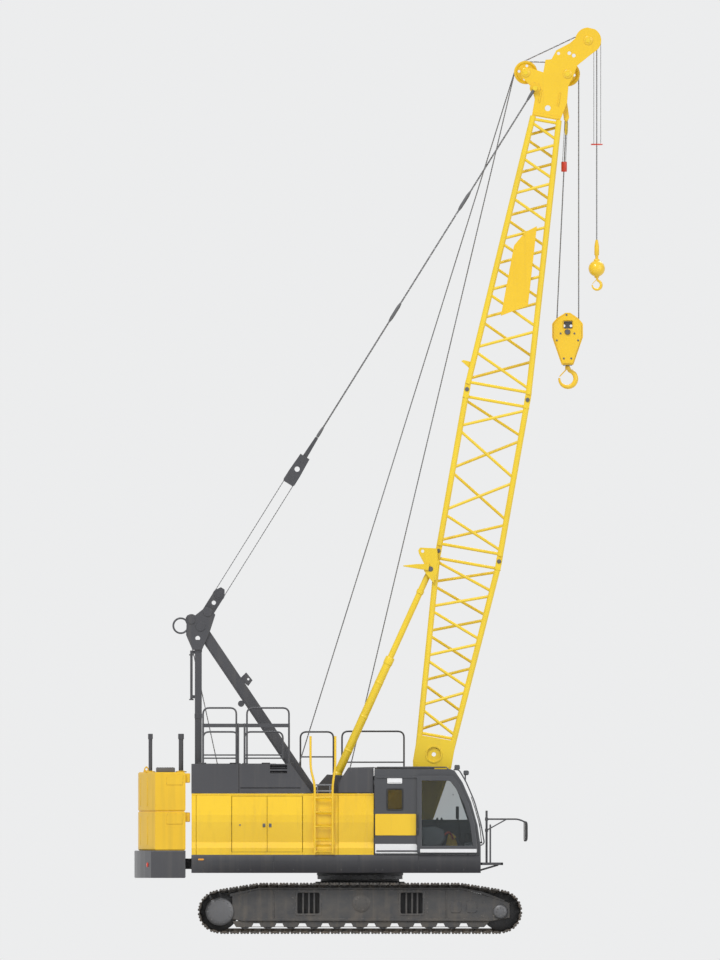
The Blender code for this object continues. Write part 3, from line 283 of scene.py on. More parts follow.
PRIMER = (0.12, 0.10, 0.085)
BARE = (0.34, 0.33, 0.31)
YELLOW = surface("yellow_paint", (0.86, 0.555, 0.020), rough=0.30, shade=(0.76, 0.46, 0.012), soil=0.16,
                 dirt=(0.24, 0.15, 0.045), edge=PRIMER, worn=0.5, coat=0.25)
# A deeper copy of the yellow paint for the counterweight tiers, rougher and without a coat: the rougher
# finish is real, the deeper colour is painted shade that tones down their brightness.
SHADED_COUNTERWEIGHT_YELLOW = surface("shaded_counterweight_yellow", (0.80, 0.49, 0.018), rough=0.55, shade=(0.70, 0.41, 0.012),
                         soil=0.18, dirt=(0.22, 0.14, 0.045), edge=PRIMER, worn=0.6)
LATTICE_YELLOW = surface("lattice_yellow", (0.84, 0.60, 0.030), rough=0.38, shade=(0.74, 0.50, 0.020),
                         soil=0.22, dirt=(0.26, 0.18, 0.07), edge=PRIMER, worn=0.6)
CHARCOAL = surface("charcoal_paint", (0.062, 0.062, 0.068), rough=0.42, shade=(0.045, 0.045, 0.050),
                   soil=0.30, dirt=(0.13, 0.12, 0.105), edge=(0.20, 0.19, 0.18), worn=0.5)
CAB_GREY = surface("cab_paint", (0.058, 0.060, 0.066), rough=0.26, shade=(0.046, 0.047, 0.052), soil=0.16,
                   dirt=(0.13, 0.12, 0.105), edge=(0.16, 0.16, 0.16), worn=0.4, coat=0.3)
UNDER_GREY = surface("underframe_paint", (0.050, 0.051, 0.054), rough=0.52, shade=(0.036, 0.036, 0.039),
                     soil=0.45, dirt=(0.15, 0.125, 0.095), dust=0.55, edge=(0.24, 0.22, 0.20), worn=0.7,
                     grain=(90.0, 0.25, 0.001))
TRACK_STEEL = surface("track_steel", (0.055, 0.053, 0.052), rough=0.55, metal=0.35,
                      shade=(0.085, 0.070, 0.058), soil=0.55, dirt=(0.16, 0.125, 0.09), dust=0.7, edge=BARE,
                      worn=0.9, grain=(70.0, 0.5, 0.0015))
CAST_GREY = surface("cast_grey", (0.14, 0.14, 0.145), rough=0.5, metal=0.4, soil=0.3, edge=BARE, worn=0.6,
                    grain=(120.0, 0.35, 0.001))
WIRE = surface("wire_rope", (0.30, 0.30, 0.31), rough=0.38, metal=0.85, shade=(0.16, 0.155, 0.15), soil=0.35,
               dirt=(0.06, 0.05, 0.04), grain=(500.0, 0.5, 0.0006))
WHITE = surface("white_paint", (0.80, 0.80, 0.80), rough=0.30, shade=(0.72, 0.72, 0.73), soil=0.12,
                dirt=(0.35, 0.33, 0.30), edge=PRIMER, worn=0.3)
RED = surface("red_paint", (0.62, 0.045, 0.02), rough=0.35, soil=0.2, edge=PRIMER, worn=0.5)
RUBBER = surface("black_rubber", (0.018, 0.018, 0.019), rough=0.62, soil=0.2, grain=(260.0, 0.3, 0.0006))
CLOTH = surface("seat_cloth", (0.040, 0.042, 0.047), rough=0.9, shade=(0.06, 0.06, 0.066), soil=0.1,
                grain=(420.0, 0.8, 0.0012))
CONSOLE = surface("moulded_plastic", (0.24, 0.25, 0.27), rough=0.5, soil=0.12, grain=(350.0, 0.4, 0.0006))
GLASS = tinted_glass("tinted_glass", (0.10, 0.12, 0.125))
AMBER_GLASS = tinted_glass("gold_glass", (0.55, 0.36, 0.03))
AMBER = surface("amber_lens", (0.85, 0.35, 0.02), rough=0.12, soil=0.05, coat=0.5)
LENS = surface("clear_lens", (0.75, 0.76, 0.78), rough=0.08, soil=0.05, coat=0.6)
SLOTS = {                # each finish under the slot that it fills, unless a piece names another
    "yellow_paint": (YELLOW, SHADED_COUNTERWEIGHT_YELLOW, LATTICE_YELLOW),
    "dark_paint": (CHARCOAL, CAB_GREY, UNDER_GREY, TRACK_STEEL, RUBBER, RED),
    "grey_metal": (CAST_GREY, WHITE, CONSOLE),
    "rope_steel": (WIRE,),
    "seat_fabric": (CLOTH,),
    "glass": (AMBER_GLASS, AMBER, LENS),
}
SLOT_OF = {finish.name: slot for slot, finishes in SLOTS.items() for finish in finishes}


# Building solids

def ring(x, z, radius, steps=24, start=0.0, sweep=360.0):
    """Points of a circle, or of an arc when sweep is less than a turn."""
    count = steps if sweep >= 360.0 else steps + 1
    angles = [math.radians(start + sweep * step / steps) for step in range(count)]
    return [(x + radius * math.cos(angle), z + radius * math.sin(angle)) for angle in angles]


def rounded(points, radius, steps=5):
    """A path whose corners are rounded off."""
    path = [Vector(points[0])]
    for before, corner, after in zip(points, points[1:], points[2:]):
        before, corner, after = Vector(before), Vector(corner), Vector(after)
        into = (before - corner).normalized()
        out = (after - corner).normalized()
        reach = min(radius, (before - corner).length * 0.49, (after - corner).length * 0.49)
        for step in range(steps + 1):
            share = step / steps
            first = corner + into * reach * (1 - share)
            second = corner + out * reach * share
            path.append(first.lerp(second, share))
    path.append(Vector(points[-1]))
    return path


def rect(x0, z0, x1, z1):
    """Four corners of a rectangle, as an outline or a profile."""
    return [(x0, z0), (x1, z0), (x1, z1), (x0, z1)]


def rounded_box(x0, z0, x1, z1, radius, steps=4):
    """Outline of a rectangle with rounded corners."""
    points = []
    for x, z, start in ((x1, z1, 0), (x0, z1, 90), (x0, z0, 180), (x1, z0, 270)):
        centre_x = x - math.copysign(radius, x - (x0 + x1) / 2)
        centre_z = z - math.copysign(radius, z - (z0 + z1) / 2)
        points += ring(centre_x, centre_z, radius, steps, start, 90.0)
    return points


def mirrored(half):
    """A profile of (radius, y) followed by its mirror image."""
    return half + [(radius, -y) for radius, y in reversed(half)]


class Piece:
    """A detailed piece: closed shapes are added in its own frame, then it is painted and hung on a body."""

    def __init__(self, name, material, body="upper", place=SWING, slot=None):
        self.name = name
        self.body = body
        self.material = material
        self.slot = slot or SLOT_OF[material.name]
        self.place = place
        self.bm = bmesh.new()

    def solid(self, points, faces):
        """Add a closed shape from its corners and faces."""
        verts = [self.bm.verts.new(point) for point in points]
        for face in faces:
            self.bm.faces.new([verts[index] for index in face])

    def box(self, low, high, bevel=0.004, place=None):
        """A cuboid with chamfered edges. Its two sides across the machine may come in either order."""
        low, high = Vector(low), Vector(high)
        low.y, high.y = min(low.y, high.y), max(low.y, high.y)
        bevel = min(bevel, *[0.4 * abs(size) for size in high - low])
        points = []
        index = {}
        signs = [(x, y, z) for x in (0, 1) for y in (0, 1) for z in (0, 1)]
        for corner in signs:
            for axis in range(3):
                point = Vector((0.0, 0.0, 0.0))
                for other in range(3):
                    inset = 0.0 if other == axis else bevel
                    point[other] = high[other] - inset if corner[other] else low[other] + inset
                index[corner, axis] = len(points)
                points.append(place @ point if place else point)
        faces = [[index[corner, axis] for axis in range(3)] for corner in signs]
        for axis in range(3):
            first, second = [other for other in range(3) if other != axis]
            for end in (0, 1):
                loop = []
                for a, b in ((0, 0), (1, 0), (1, 1), (0, 1)):
                    corner = [0, 0, 0]
                    corner[axis], corner[first], corner[second] = end, a, b
                    loop.append(index[tuple(corner), axis])
                faces.append(loop)
            for a in (0, 1):
                for b in (0, 1):
                    ends = []
                    for end in (0, 1):
                        corner = [0, 0, 0]
                        corner[axis], corner[first], corner[second] = end, a, b
                        ends.append(tuple(corner))
                    faces.append([index[ends[0], first], index[ends[1], first], index[ends[1], second],
                                  index[ends[0], second]])
        self.solid(points, faces)

    def loft(self, rows, closed=False):
        """Skin a row of equal rings, capped at both ends unless it closes on itself."""
        sides = len(rows[0])
        points = [point for row in rows for point in row]
        faces = []
        count = len(rows) if closed else len(rows) - 1
        for row in range(count):
            here = row * sides
            there = (row + 1) % len(rows) * sides
            for side in range(sides):
                after = (side + 1) % sides
                faces.append([here + side, here + after, there + after, there + side])
        if not closed:
            faces.append(list(range(sides)))
            faces.append([(len(rows) - 1) * sides + side for side in range(sides)])
        self.solid(points, faces)

    def tube(self, path, radius, sides=12, closed=False, lobes=0, lay=0.18, flat=1.0):
        """Sweep a round, flattened or stranded section along a path, with one radius or one a point."""
        path = [Vector(point) for point in path]
        radii = radius if isinstance(radius, (list, tuple)) else [radius] * len(path)
        rows = []
        travelled = 0.0
        side = None
        for number, point in enumerate(path):
            before = path[number - 1] if number or closed else point
            after = path[(number + 1) % len(path)] if number + 1 < len(path) or closed else point
            along = (after - before).normalized()
            if side is None:
                side = along.orthogonal().normalized()
            side = (side - along * side.dot(along)).normalized()
            other = along.cross(side)
            if number:
                travelled += (point - path[number - 1]).length
            twist = 2 * math.pi * travelled / lay if lobes else 0.0
            row = []
            for step in range(sides):
                angle = 2 * math.pi * step / sides
                reach = radii[number] * (1.0 - 0.16 * (step % 2)) if lobes else radii[number]
                across = side * math.cos(angle + twist) + other * math.sin(angle + twist) * flat
                row.append(point + across * reach)
            rows.append(row)
        self.loft(rows, closed)

    def bar(self, start, end, radius, sides=16, bevel=0.0):
        """A round bar between two points, its ends chamfered if asked."""
        start, end = Vector(start), Vector(end)
        if not bevel:
            self.tube([start, end], radius, sides)
            return
        step = (end - start).normalized() * bevel
        self.tube([start, start + step, end - step, end], [radius - bevel, radius, radius, radius - bevel],
                  sides)

    def rope(self, path, radius=ROPE_RADIUS, pace=0.03):
        """A stranded wire rope along a path."""
        fine = []
        for first, second in zip(path, path[1:]):
            first, second = Vector(first), Vector(second)
            steps = max(1, round((second - first).length / pace))
            fine += [first.lerp(second, step / steps) for step in range(steps)]
        fine.append(Vector(path[-1]))
        self.tube(fine, radius, 12, lobes=6)

    def lathe(self, profile, place, steps=32):
        """Spin a closed profile of (radius, height) about the local Z axis of a frame."""
        rows = []
        for step in range(steps):
            angle = 2 * math.pi * step / steps
            turn = Vector((math.cos(angle), math.sin(angle), 0.0))
            rows.append([place @ (turn * max(radius, 0.0004) + Vector((0.0, 0.0, height))) for radius,
                         height in profile])
        self.loft(rows, closed=True)

    def wheel(self, x, z, profile, steps=32, y=0.0):
        """Spin a profile of (radius, y) about a shaft across the machine."""
        self.lathe(profile, at(x, y, z) @ turned(-90, "X"), steps)

    def flat(self, outline, thickness, place, holes=(), bevel=0.003):
        """A plate of any outline, with holes and chamfered rims."""
        curve = bpy.data.curves.new("outline", "CURVE")
        curve.dimensions = "2D"
        curve.fill_mode = "BOTH"
        bevel = min(bevel, thickness * 0.3)
        curve.extrude = thickness / 2 - bevel
        curve.bevel_depth = bevel
        curve.bevel_resolution = 0
        curve.offset = -bevel
        for loop in (outline, *holes):
            spline = curve.splines.new("POLY")
            spline.points.add(len(loop) - 1)
            for point, (across, up) in zip(spline.points, loop):
                point.co = (across, up, 0.0, 1.0)
            spline.use_cyclic_u = True
        source = bpy.data.objects.new("outline", curve)
        bpy.context.scene.collection.objects.link(source)
        graph = bpy.context.evaluated_depsgraph_get()
        mesh = bpy.data.meshes.new_from_object(source.evaluated_get(graph))
        mesh.transform(place)
        self.bm.from_mesh(mesh)
        bpy.data.objects.remove(source, do_unlink=True)
        bpy.data.curves.remove(curve)
        bpy.data.meshes.remove(mesh)

    def side(self, outline, y_low, y_high, holes=(), bevel=0.003):
        """A side-view outline as a plate across the machine."""
        place = at(0.0, (y_low + y_high) / 2, 0.0) @ turned(90, "X")
        self.flat(outline, abs(y_high - y_low), place, holes, bevel)

    def plan(self, outline, z_low, z_high, holes=(), bevel=0.003):
        """A plan outline as a plate lying flat."""
        self.flat(outline, z_high - z_low, at(0.0, 0.0, (z_low + z_high) / 2), holes, bevel)

    def along(self, outline, x_low, x_high, holes=(), bevel=0.003):
        """An end-view outline (y, z) as a plate along the machine."""
        self.flat(outline, x_high - x_low, at((x_low + x_high) / 2, 0, 0) @ ENDWISE, holes, bevel)

    def bolt(self, point, direction, size=0.018):
        """A hexagon head with its washer, standing on a face."""
        point = Vector(point)
        direction = Vector(direction).normalized()
        self.bar(point - direction * 0.002, point + direction * size * 0.25, size * 1.35, 12)
        self.bar(point, point + direction * size, size, 6)

    def bolts(self, points, y, sign, size):
        """Bolts at several side-view points, standing on a face of one side."""
        for x, z in points:
            self.bolt((x, y, z), (0, sign, 0), size)

    def done(self, replaces=(), angle=42.0):
        """Make the object, paint it and hang it on its body."""
        bm = self.bm
        bmesh.ops.remove_doubles(bm, verts=bm.verts, dist=0.00002)
        bmesh.ops.dissolve_degenerate(bm, edges=bm.edges, dist=0.00002)
        bmesh.ops.recalc_face_normals(bm, faces=bm.faces)
        mesh = bpy.data.meshes.new(self.name)
        bm.to_mesh(mesh)
        bm.free()
        mesh.transform(self.place)
        mesh.materials.append(self.material)
        mesh.shade_smooth()
        mesh.set_sharp_from_angle(angle=math.radians(angle))
        made = bpy.data.objects.new(self.name, mesh)
        bpy.context.scene.collection.objects.link(made)
        if self.body:
            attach(made, self.body)
        if replaces:
            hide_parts(*replaces)
        return made


def keep(names, material, bevel=0.006):
    """Finish nodes of the model that stay, with their edges softened."""
    for name in names:
        node = frame["nodes"][name]
        for holder in node.material_slots:
            holder.material = material
        weld = node.modifiers.new("weld", "WELD")
        weld.merge_threshold = 0.0001
        soften = node.modifiers.new("soften", "BEVEL")
        soften.width = bevel
        soften.segments = 2
        soften.limit_method = "ANGLE"
        soften.angle_limit = math.radians(35.0)
        soften.use_clamp_overlap = True


# Camera, light and stage

def studio():
    """A level camera square to the cab's side, soft lamps, a pale floor and a pale surround."""
    scene = bpy.context.scene
    camera = bpy.data.cameras.new("camera")
    camera.type = "ORTHO"
    camera.ortho_scale = FRAME_HEIGHT * PIXEL
    camera.clip_end = 400.0
    eye = bpy.data.objects.new("camera", camera)
    eye.location = (SWING.translation.x, -60.0, VIEW_HEIGHT)
    eye.rotation_euler = (math.radians(90.0), 0.0, 0.0)
    scene.collection.objects.link(eye)
    scene.camera = eye
    scene.view_settings.view_transform = "Standard"
    lamps = (
        ("key", (-0.55, -1.0, 1.25), 1.75, 24.0),
        ("fill", (1.0, -0.9, 0.45), 0.80, 50.0),
        ("back", (0.35, 1.0, 0.9), 1.00, 40.0),
    )
    for name, source, strength, spread in lamps:
        lamp = bpy.data.lights.new(name, "SUN")
        lamp.energy = strength
        lamp.angle = math.radians(spread)
        made = bpy.data.objects.new(name, lamp)
        made.rotation_euler = Vector(source).to_track_quat("Z", "Y").to_euler()
        scene.collection.objects.link(made)
    world = bpy.data.worlds.new("surround")
    scene.world = world
    world.use_nodes = True
    tree = world.node_tree
    soft = tree.nodes["Background"]
    soft.inputs["Color"].default_value = (0.95, 0.97, 1.0, 1.0)
    soft.inputs["Strength"].default_value = 0.50
    plain = tree.nodes.new("ShaderNodeBackground")
    plain.inputs["Color"].default_value = (0.84, 0.845, 0.85, 1.0)
    rays = tree.nodes.new("ShaderNodeLightPath")
    seen = maths(tree, "MAXIMUM", rays.outputs["Is Camera Ray"], rays.outputs["Is Transmission Ray"])
    seen = maths(tree, "MAXIMUM", seen, maths(tree, "MULTIPLY", rays.outputs["Is Glossy Ray"], 0.75))
    choose = tree.nodes.new("ShaderNodeMixShader")
    tree.links.new(seen, choose.inputs["Fac"])
    tree.links.new(soft.outputs["Background"], choose.inputs[1])
    tree.links.new(plain.outputs["Background"], choose.inputs[2])
    tree.links.new(choose.outputs["Shader"], tree.nodes["World Output"].inputs["Surface"])
    mesh = bpy.data.meshes.new("floor")
    reach = 150.0
    mesh.from_pydata([(-reach, -reach, 0), (reach, -reach, 0), (reach, reach, 0), (-reach, reach, 0)], [],
                     [(0, 1, 2, 3)])
    floor = bpy.data.objects.new("floor", mesh)
    mesh.materials.append(surface("pale_floor", (0.78, 0.785, 0.79), rough=0.8, soil=0.02,
                                  grain=(30.0, 0.05, 0.002)))
    scene.collection.objects.link(floor)
    floor.location.z = -0.002


studio()


# Crawlers

def track_pins():
    """Pins of the shoe chain in side view, as in the part's source."""
    radius = TRACK_END_RADIUS - SHOE_THICKNESS
    centre = TRACK_END_RADIUS
    crown = centre + radius + TRACK_CROWN
    lean = math.degrees(math.atan2(TRACK_CROWN, END_X - CROWN_HALF))
    points = [(-END_X, SHOE_THICKNESS)]
    points += ring(END_X, centre, radius, 24, -90.0, 180.0 - lean)
    points += [(CROWN_HALF, crown), (-CROWN_HALF, crown)]
    points += ring(-END_X, centre, radius, 24, 90.0 + lean, 180.0 - lean)
    lengths = [math.dist(a, b) for a, b in zip(points, points[1:] + points[:1])]
    count = round(sum(lengths) / SHOE_PITCH)
    pins = []
    for number in range(count):
        left = number * sum(lengths) / count
        index = 0
        while left > lengths[index]:
            left -= lengths[index]
            index += 1
        start = Vector(points[index])
        pins.append(start.lerp(Vector(points[(index + 1) % len(points)]), left / lengths[index]))
    return pins


def crawler(prefix, y):
    """One track: shoes with ribs on linked chain, over a frame with rollers, sprocket and idler, with black
    painted shade in its windows and at the track ends.
    """
    pins = track_pins()
    chain = Piece(prefix + "_track_shoes", TRACK_STEEL, "crawler_base")
    half = SHOE_WIDTH / 2
    for pin, after in zip(pins, pins[1:] + pins[:1]):
        along = (after - pin).normalized()
        length = (after - pin).length
        out = Vector((along.y, -along.x))
        place = Matrix((
            (along.x, 0.0, out.x, pin.x),
            (0.0, -1.0, 0.0, y),
            (along.y, 0.0, out.y, pin.y),
            (0.0, 0.0, 0.0, 1.0),
        ))
        chain.box((0.007, -half, 0.014), (length - 0.007, half, 0.040), 0.006, place)
        for start in (0.014, 0.073, 0.132):
            chain.box((start, -half + 0.02, 0.036), (start + 0.042, half - 0.02, SHOE_THICKNESS), 0.008,
                      place)
        for sign in (-1, 1):
            chain.box((-0.025, sign * 0.100, -0.052), (length * 0.62, sign * 0.124, 0.016), 0.006, place)
            chain.box((length * 0.38, sign * 0.126, -0.052), (length + 0.025, sign * 0.150, 0.016), 0.006,
                      place)
            chain.box((0.05, sign * 0.30 - 0.05, 0.0), (length - 0.05, sign * 0.30 + 0.05, 0.018), 0.006,
                      place)
        chain.bar(place @ Vector((0.0, -0.162, -0.016)), place @ Vector((0.0, 0.162, -0.016)), 0.020, 10)
    chain.done(replaces=[prefix + "_track"])

    beam = Piece(prefix + "_crawler_frame", UNDER_GREY, "crawler_base")
    outline = [(-2.41, 0.28), (-2.20, 0.235), (2.45, 0.235), (2.82, 0.30), (2.82, 0.59), (2.27, 0.75),
               (CROWN_HALF, 0.843), (-CROWN_HALF, 0.843), (-2.41, 0.72)]
    pockets = [rounded_box(x - 0.205, 0.385, x + 0.205, 0.775, 0.03) for x in (-WINDOW_X, WINDOW_X)]
    beam.side(outline, y - BEAM_HALF, y + BEAM_HALF, pockets, 0.012)
    for sign in (-1, 1):
        face = y + sign * BEAM_HALF
        reach = face + sign * 0.012
        for x in (-WINDOW_X, WINDOW_X):
            rim = rounded_box(x - 0.245, 0.345, x + 0.245, 0.815, 0.04)
            gap = rounded_box(x - 0.21, 0.38, x + 0.21, 0.78, 0.03)
            beam.side(rim, face - sign * 0.004, reach, [gap], 0.004)
            for z in (0.40, 0.49, 0.58, 0.67, 0.76):
                beam.bolt((math.copysign(1.265, x), face, z), (0, sign, 0), 0.013)
            for across in (-0.10, 0.01, 0.11):
                bar_x = x + across
                beam.box((bar_x - 0.018, face - sign * 0.03, 0.380),
                         (bar_x + 0.018, face - sign * 0.12, 0.780), 0.006)
        beam.box((-2.16, face, 0.245), (2.44, reach, 0.295), 0.005)
        beam.box((-1.86, face, 0.815), (1.86, reach, 0.838), 0.004)
        for x in (-1.62, 1.62):
            beam.box((x - 0.012, face, 0.30), (x + 0.012, reach, 0.81), 0.004)
        for x in (1.80, 2.10):
            beam.side(rounded_box(x - 0.10, 0.40, x + 0.10, 0.62, 0.05), face - sign * 0.004, reach,
                      (), 0.004)
        beam.wheel(0.02, 0.575, [(0.0, face - y - sign * 0.01), (0.17, face - y - sign * 0.01),
                                 (0.17, face - y + sign * 0.006), (0.14, face - y + sign * 0.022),
                                 (0.0, face - y + sign * 0.022)], 28, y)
        beam.bolts(ring(0.02, 0.575, 0.115, 10), face + sign * 0.020, sign, 0.014)
        beam.bolts(((2.30, 0.34), (2.62, 0.36), (2.70, 0.52), (2.32, 0.60), (2.52, 0.34)), face, sign, 0.016)
    for x in (-0.62, 0.62):
        beam.side([(x - 0.05, 0.84), (x + 0.05, 0.84), (x + 0.03, 0.895), (x - 0.03, 0.895)],
                  y - 0.21, y - 0.19, [ring(x, 0.87, 0.012, 10)], 0.002)
    rail = [(-2.30, 0.735), (-CROWN_HALF, 0.842), (CROWN_HALF, 0.842), (2.30, 0.745), (2.70, 0.60),
            (2.72, 0.64), (2.30, 0.80), (CROWN_HALF, 0.872), (-CROWN_HALF, 0.872), (-2.30, 0.79),
            (-2.45, 0.755), (-2.45, 0.70)]
    for near, far in ((-0.255, -0.075), (0.075, 0.255)):
        beam.side(rail, y + near, y + far, (), 0.004)
    guard = [(-2.40, 0.245), (-2.33, 0.128), (2.33, 0.128), (2.45, 0.245)]
    openings = [[(x - 0.085, 0.14), (x + 0.085, 0.14), (x + 0.055, 0.20), (x - 0.055, 0.20)]
                for x in [ROLLER_SPAN * ((number + 0.5) / 10 - 0.5) for number in range(10)]]
    for sign in (-1, 1):
        beam.side(guard, y + sign * 0.212, y + sign * 0.236, openings, 0.004)
    beam.done(replaces=[prefix + "_side_frame"])

    # Painted shade: black shapes fill the frame's windows, the gaps beside the sprocket and idler and the
    # dark spaces at the track ends, where only shade falls.
    dark = Piece(prefix + "_painted_shade_fill", RUBBER, "crawler_base")
    for x in (-WINDOW_X, WINDOW_X):
        dark.box((x - 0.21, y - 0.13, 0.378), (x + 0.21, y + 0.13, 0.782), 0.006)
    for sign in (-1, 1):
        y_low, y_high = sorted((sign * 0.19, sign * 0.215))
        for x in (-END_X, END_X):
            dark.wheel(x, TRACK_END_RADIUS,
                       [(0.05, y_low), (0.345, y_low), (0.352, y_low + 0.006), (0.352, y_high - 0.006),
                        (0.345, y_high), (0.05, y_high)], 48, y)
    dark.side([(-2.62, 0.45), (-2.36, 0.45), (-2.36, 0.735), (-2.52, 0.74)], y - 0.185, y + 0.185, (), 0.006)
    for sign in (-1, 1):
        near, far = y + sign * 0.160, y + sign * 0.188
        dark.side([(-2.60, 0.70), (-2.28, 0.74), (-2.28, 0.80), (-2.60, 0.765)], near, far, (), 0.004)
        dark.side([(2.28, 0.74), (2.60, 0.66), (2.62, 0.745), (2.28, 0.80)], near, far, (), 0.004)
    dark.done()

    wheels = Piece(prefix + "_crawler_wheels", CAST_GREY, "crawler_base", slot="dark_paint")
    spoke = SHOE_THICKNESS * 2 + SEATING
    roller_z = spoke + 0.12
    for number in range(11):
        x = ROLLER_SPAN * (number / 10 - 0.5)
        wheels.wheel(x, roller_z,
                     mirrored([(0.0, -0.205), (0.045, -0.205), (0.05, -0.20), (0.05, -0.185),
                               (0.135, -0.180), (0.135, -0.162), (0.118, -0.156), (0.118, -0.06),
                               (0.095, -0.05)]), 24, y)
    for x in (-1.45, 1.45):
        z = TRACK_END_RADIUS * 2 + TRACK_CROWN - spoke - 0.09
        wheels.wheel(x, z, mirrored([(0.0, -0.13), (0.05, -0.13), (0.088, -0.115)]), 24, y)
        wheels.box((x - 0.05, y - 0.03, 0.80), (x + 0.05, y + 0.03, z), 0.006)
    middle = TRACK_END_RADIUS
    sprocket = [(0.0, -0.31), (0.17, -0.31), (0.255, -0.295), (0.268, -0.28), (0.268, -0.10), (0.24, -0.09)]
    wheels.wheel(-END_X, middle, mirrored(sprocket), 40, y)
    idler = [(0.0, -0.31), (0.10, -0.31), (0.13, -0.29), (0.14, -0.27), (0.14, -0.09), (0.285, -0.085),
             (0.30, -0.06)]
    wheels.wheel(END_X, middle, mirrored(idler), 40, y)
    teeth = []
    for step in range(26):
        angle = 2 * math.pi * step / 26
        for offset, reach in ((-0.07, 0.262), (-0.035, 0.301), (0.035, 0.301), (0.07, 0.262)):
            teeth.append((-END_X + reach * math.cos(angle + offset),
                          middle + reach * math.sin(angle + offset)))
    for offset in (-0.10, 0.06):
        wheels.side(teeth, y + offset, y + offset + 0.04, (), 0.004)
    for sign in (-1, 1):
        wheels.bolts(ring(-END_X, middle, 0.215, 16), y + sign * 0.302, sign, 0.011)
        wheels.bolts(ring(END_X, middle, 0.075, 8), y + sign * 0.31, sign, 0.010)
    wheels.done()


crawler("right", -TRACK_Y)
crawler("left", TRACK_Y)


# Boom

def lattice(piece, low, high, stations):
    """Four round chords between two sections (u, half depth, half breadth), laced on all four faces."""
    def corner(u, front, left):
        share = (u - low[0]) / (high[0] - low[0])
        depth = low[1] + (high[1] - low[1]) * share
        breadth = low[2] + (high[2] - low[2]) * share
        return Vector((front * depth, left * breadth, u))

    for front in (-1, 1):
        for left in (-1, 1):
            piece.bar(corner(low[0], front, left), corner(high[0], front, left), CHORD_RADIUS, 20, 0.004)
    for u in (stations[0] - LACING_GAP / 4, stations[-1] + LACING_GAP / 4):
        for sign in (-1, 1):
            piece.bar(corner(u, sign, -1), corner(u, sign, 1), 0.030, 12)
            piece.bar(corner(u, -1, sign), corner(u, 1, sign), 0.030, 12)
    for number, (start, end) in enumerate(zip(stations, stations[1:])):
        first = start + LACING_GAP / 2
        last = end - LACING_GAP / 2
        swing = 1 if number % 2 else -1
        for sign in (-1, 1):
            piece.bar(corner(first, swing * sign, sign), corner(last, -swing * sign, sign), 0.028, 12)
            piece.bar(corner(first, sign, -swing * sign), corner(last, sign, swing * sign), 0.028, 12)


def spaced(start, end, count, ratio=1.0):
    """Stations from start to end, each gap ratio times the one before."""
    gaps = [ratio ** number for number in range(count)]
    points = [start]
    for gap in gaps:
        points.append(points[-1] + gap * (end - start) / sum(gaps))
    return points


def chord_ears(piece, u, up):
    """Forked lugs, each with a weld round its chord, on the lower section, or tongues on the upper one."""
    for front in (-1, 1):
        x = front * HALF_DEPTH
        outline = [(x - 0.055, u - up * 0.16), (x + 0.055, u - up * 0.16),
                   *ring(x, u, 0.058, 12, 0.0, 180.0 * up)]
        for left in (-1, 1):
            y = left * HALF_BREADTH
            if up > 0:
                piece.side(outline, y - 0.058, y - 0.031, [], 0.004)
                piece.side(outline, y + 0.031, y + 0.058, [], 0.004)
                piece.tube(ring_path(x, y, u - 0.16), 0.012, 8, closed=True)
            else:
                piece.side(outline, y - 0.026, y + 0.026, [ring(x, u, 0.031, 16)], 0.004)


def ring_path(x, y, u):
    """A circle round a chord, for the weld where its lug begins."""
    return [(a, b, u) for a, b in ring(x, y, CHORD_RADIUS - 0.004, 20)]


def section_pins(u, number):
    """The pins of one joint between sections, with heads, washers and retaining clips."""
    pins = Piece(f"boom_section_pins_{number}", CAST_GREY, "boom", BOOM)
    for front in (-1, 1):
        x = front * HALF_DEPTH
        for left in (-1, 1):
            y = left * HALF_BREADTH
            pins.bar((x, y - 0.078, u), (x, y + 0.074, u), 0.030, 20, 0.004)
            pins.bar((x, y - 0.074, u), (x, y - 0.060, u), 0.040, 20, 0.003)
            pins.bar((x - 0.045, y + 0.066, u), (x + 0.045, y + 0.066, u), 0.005, 8)
    pins.done()


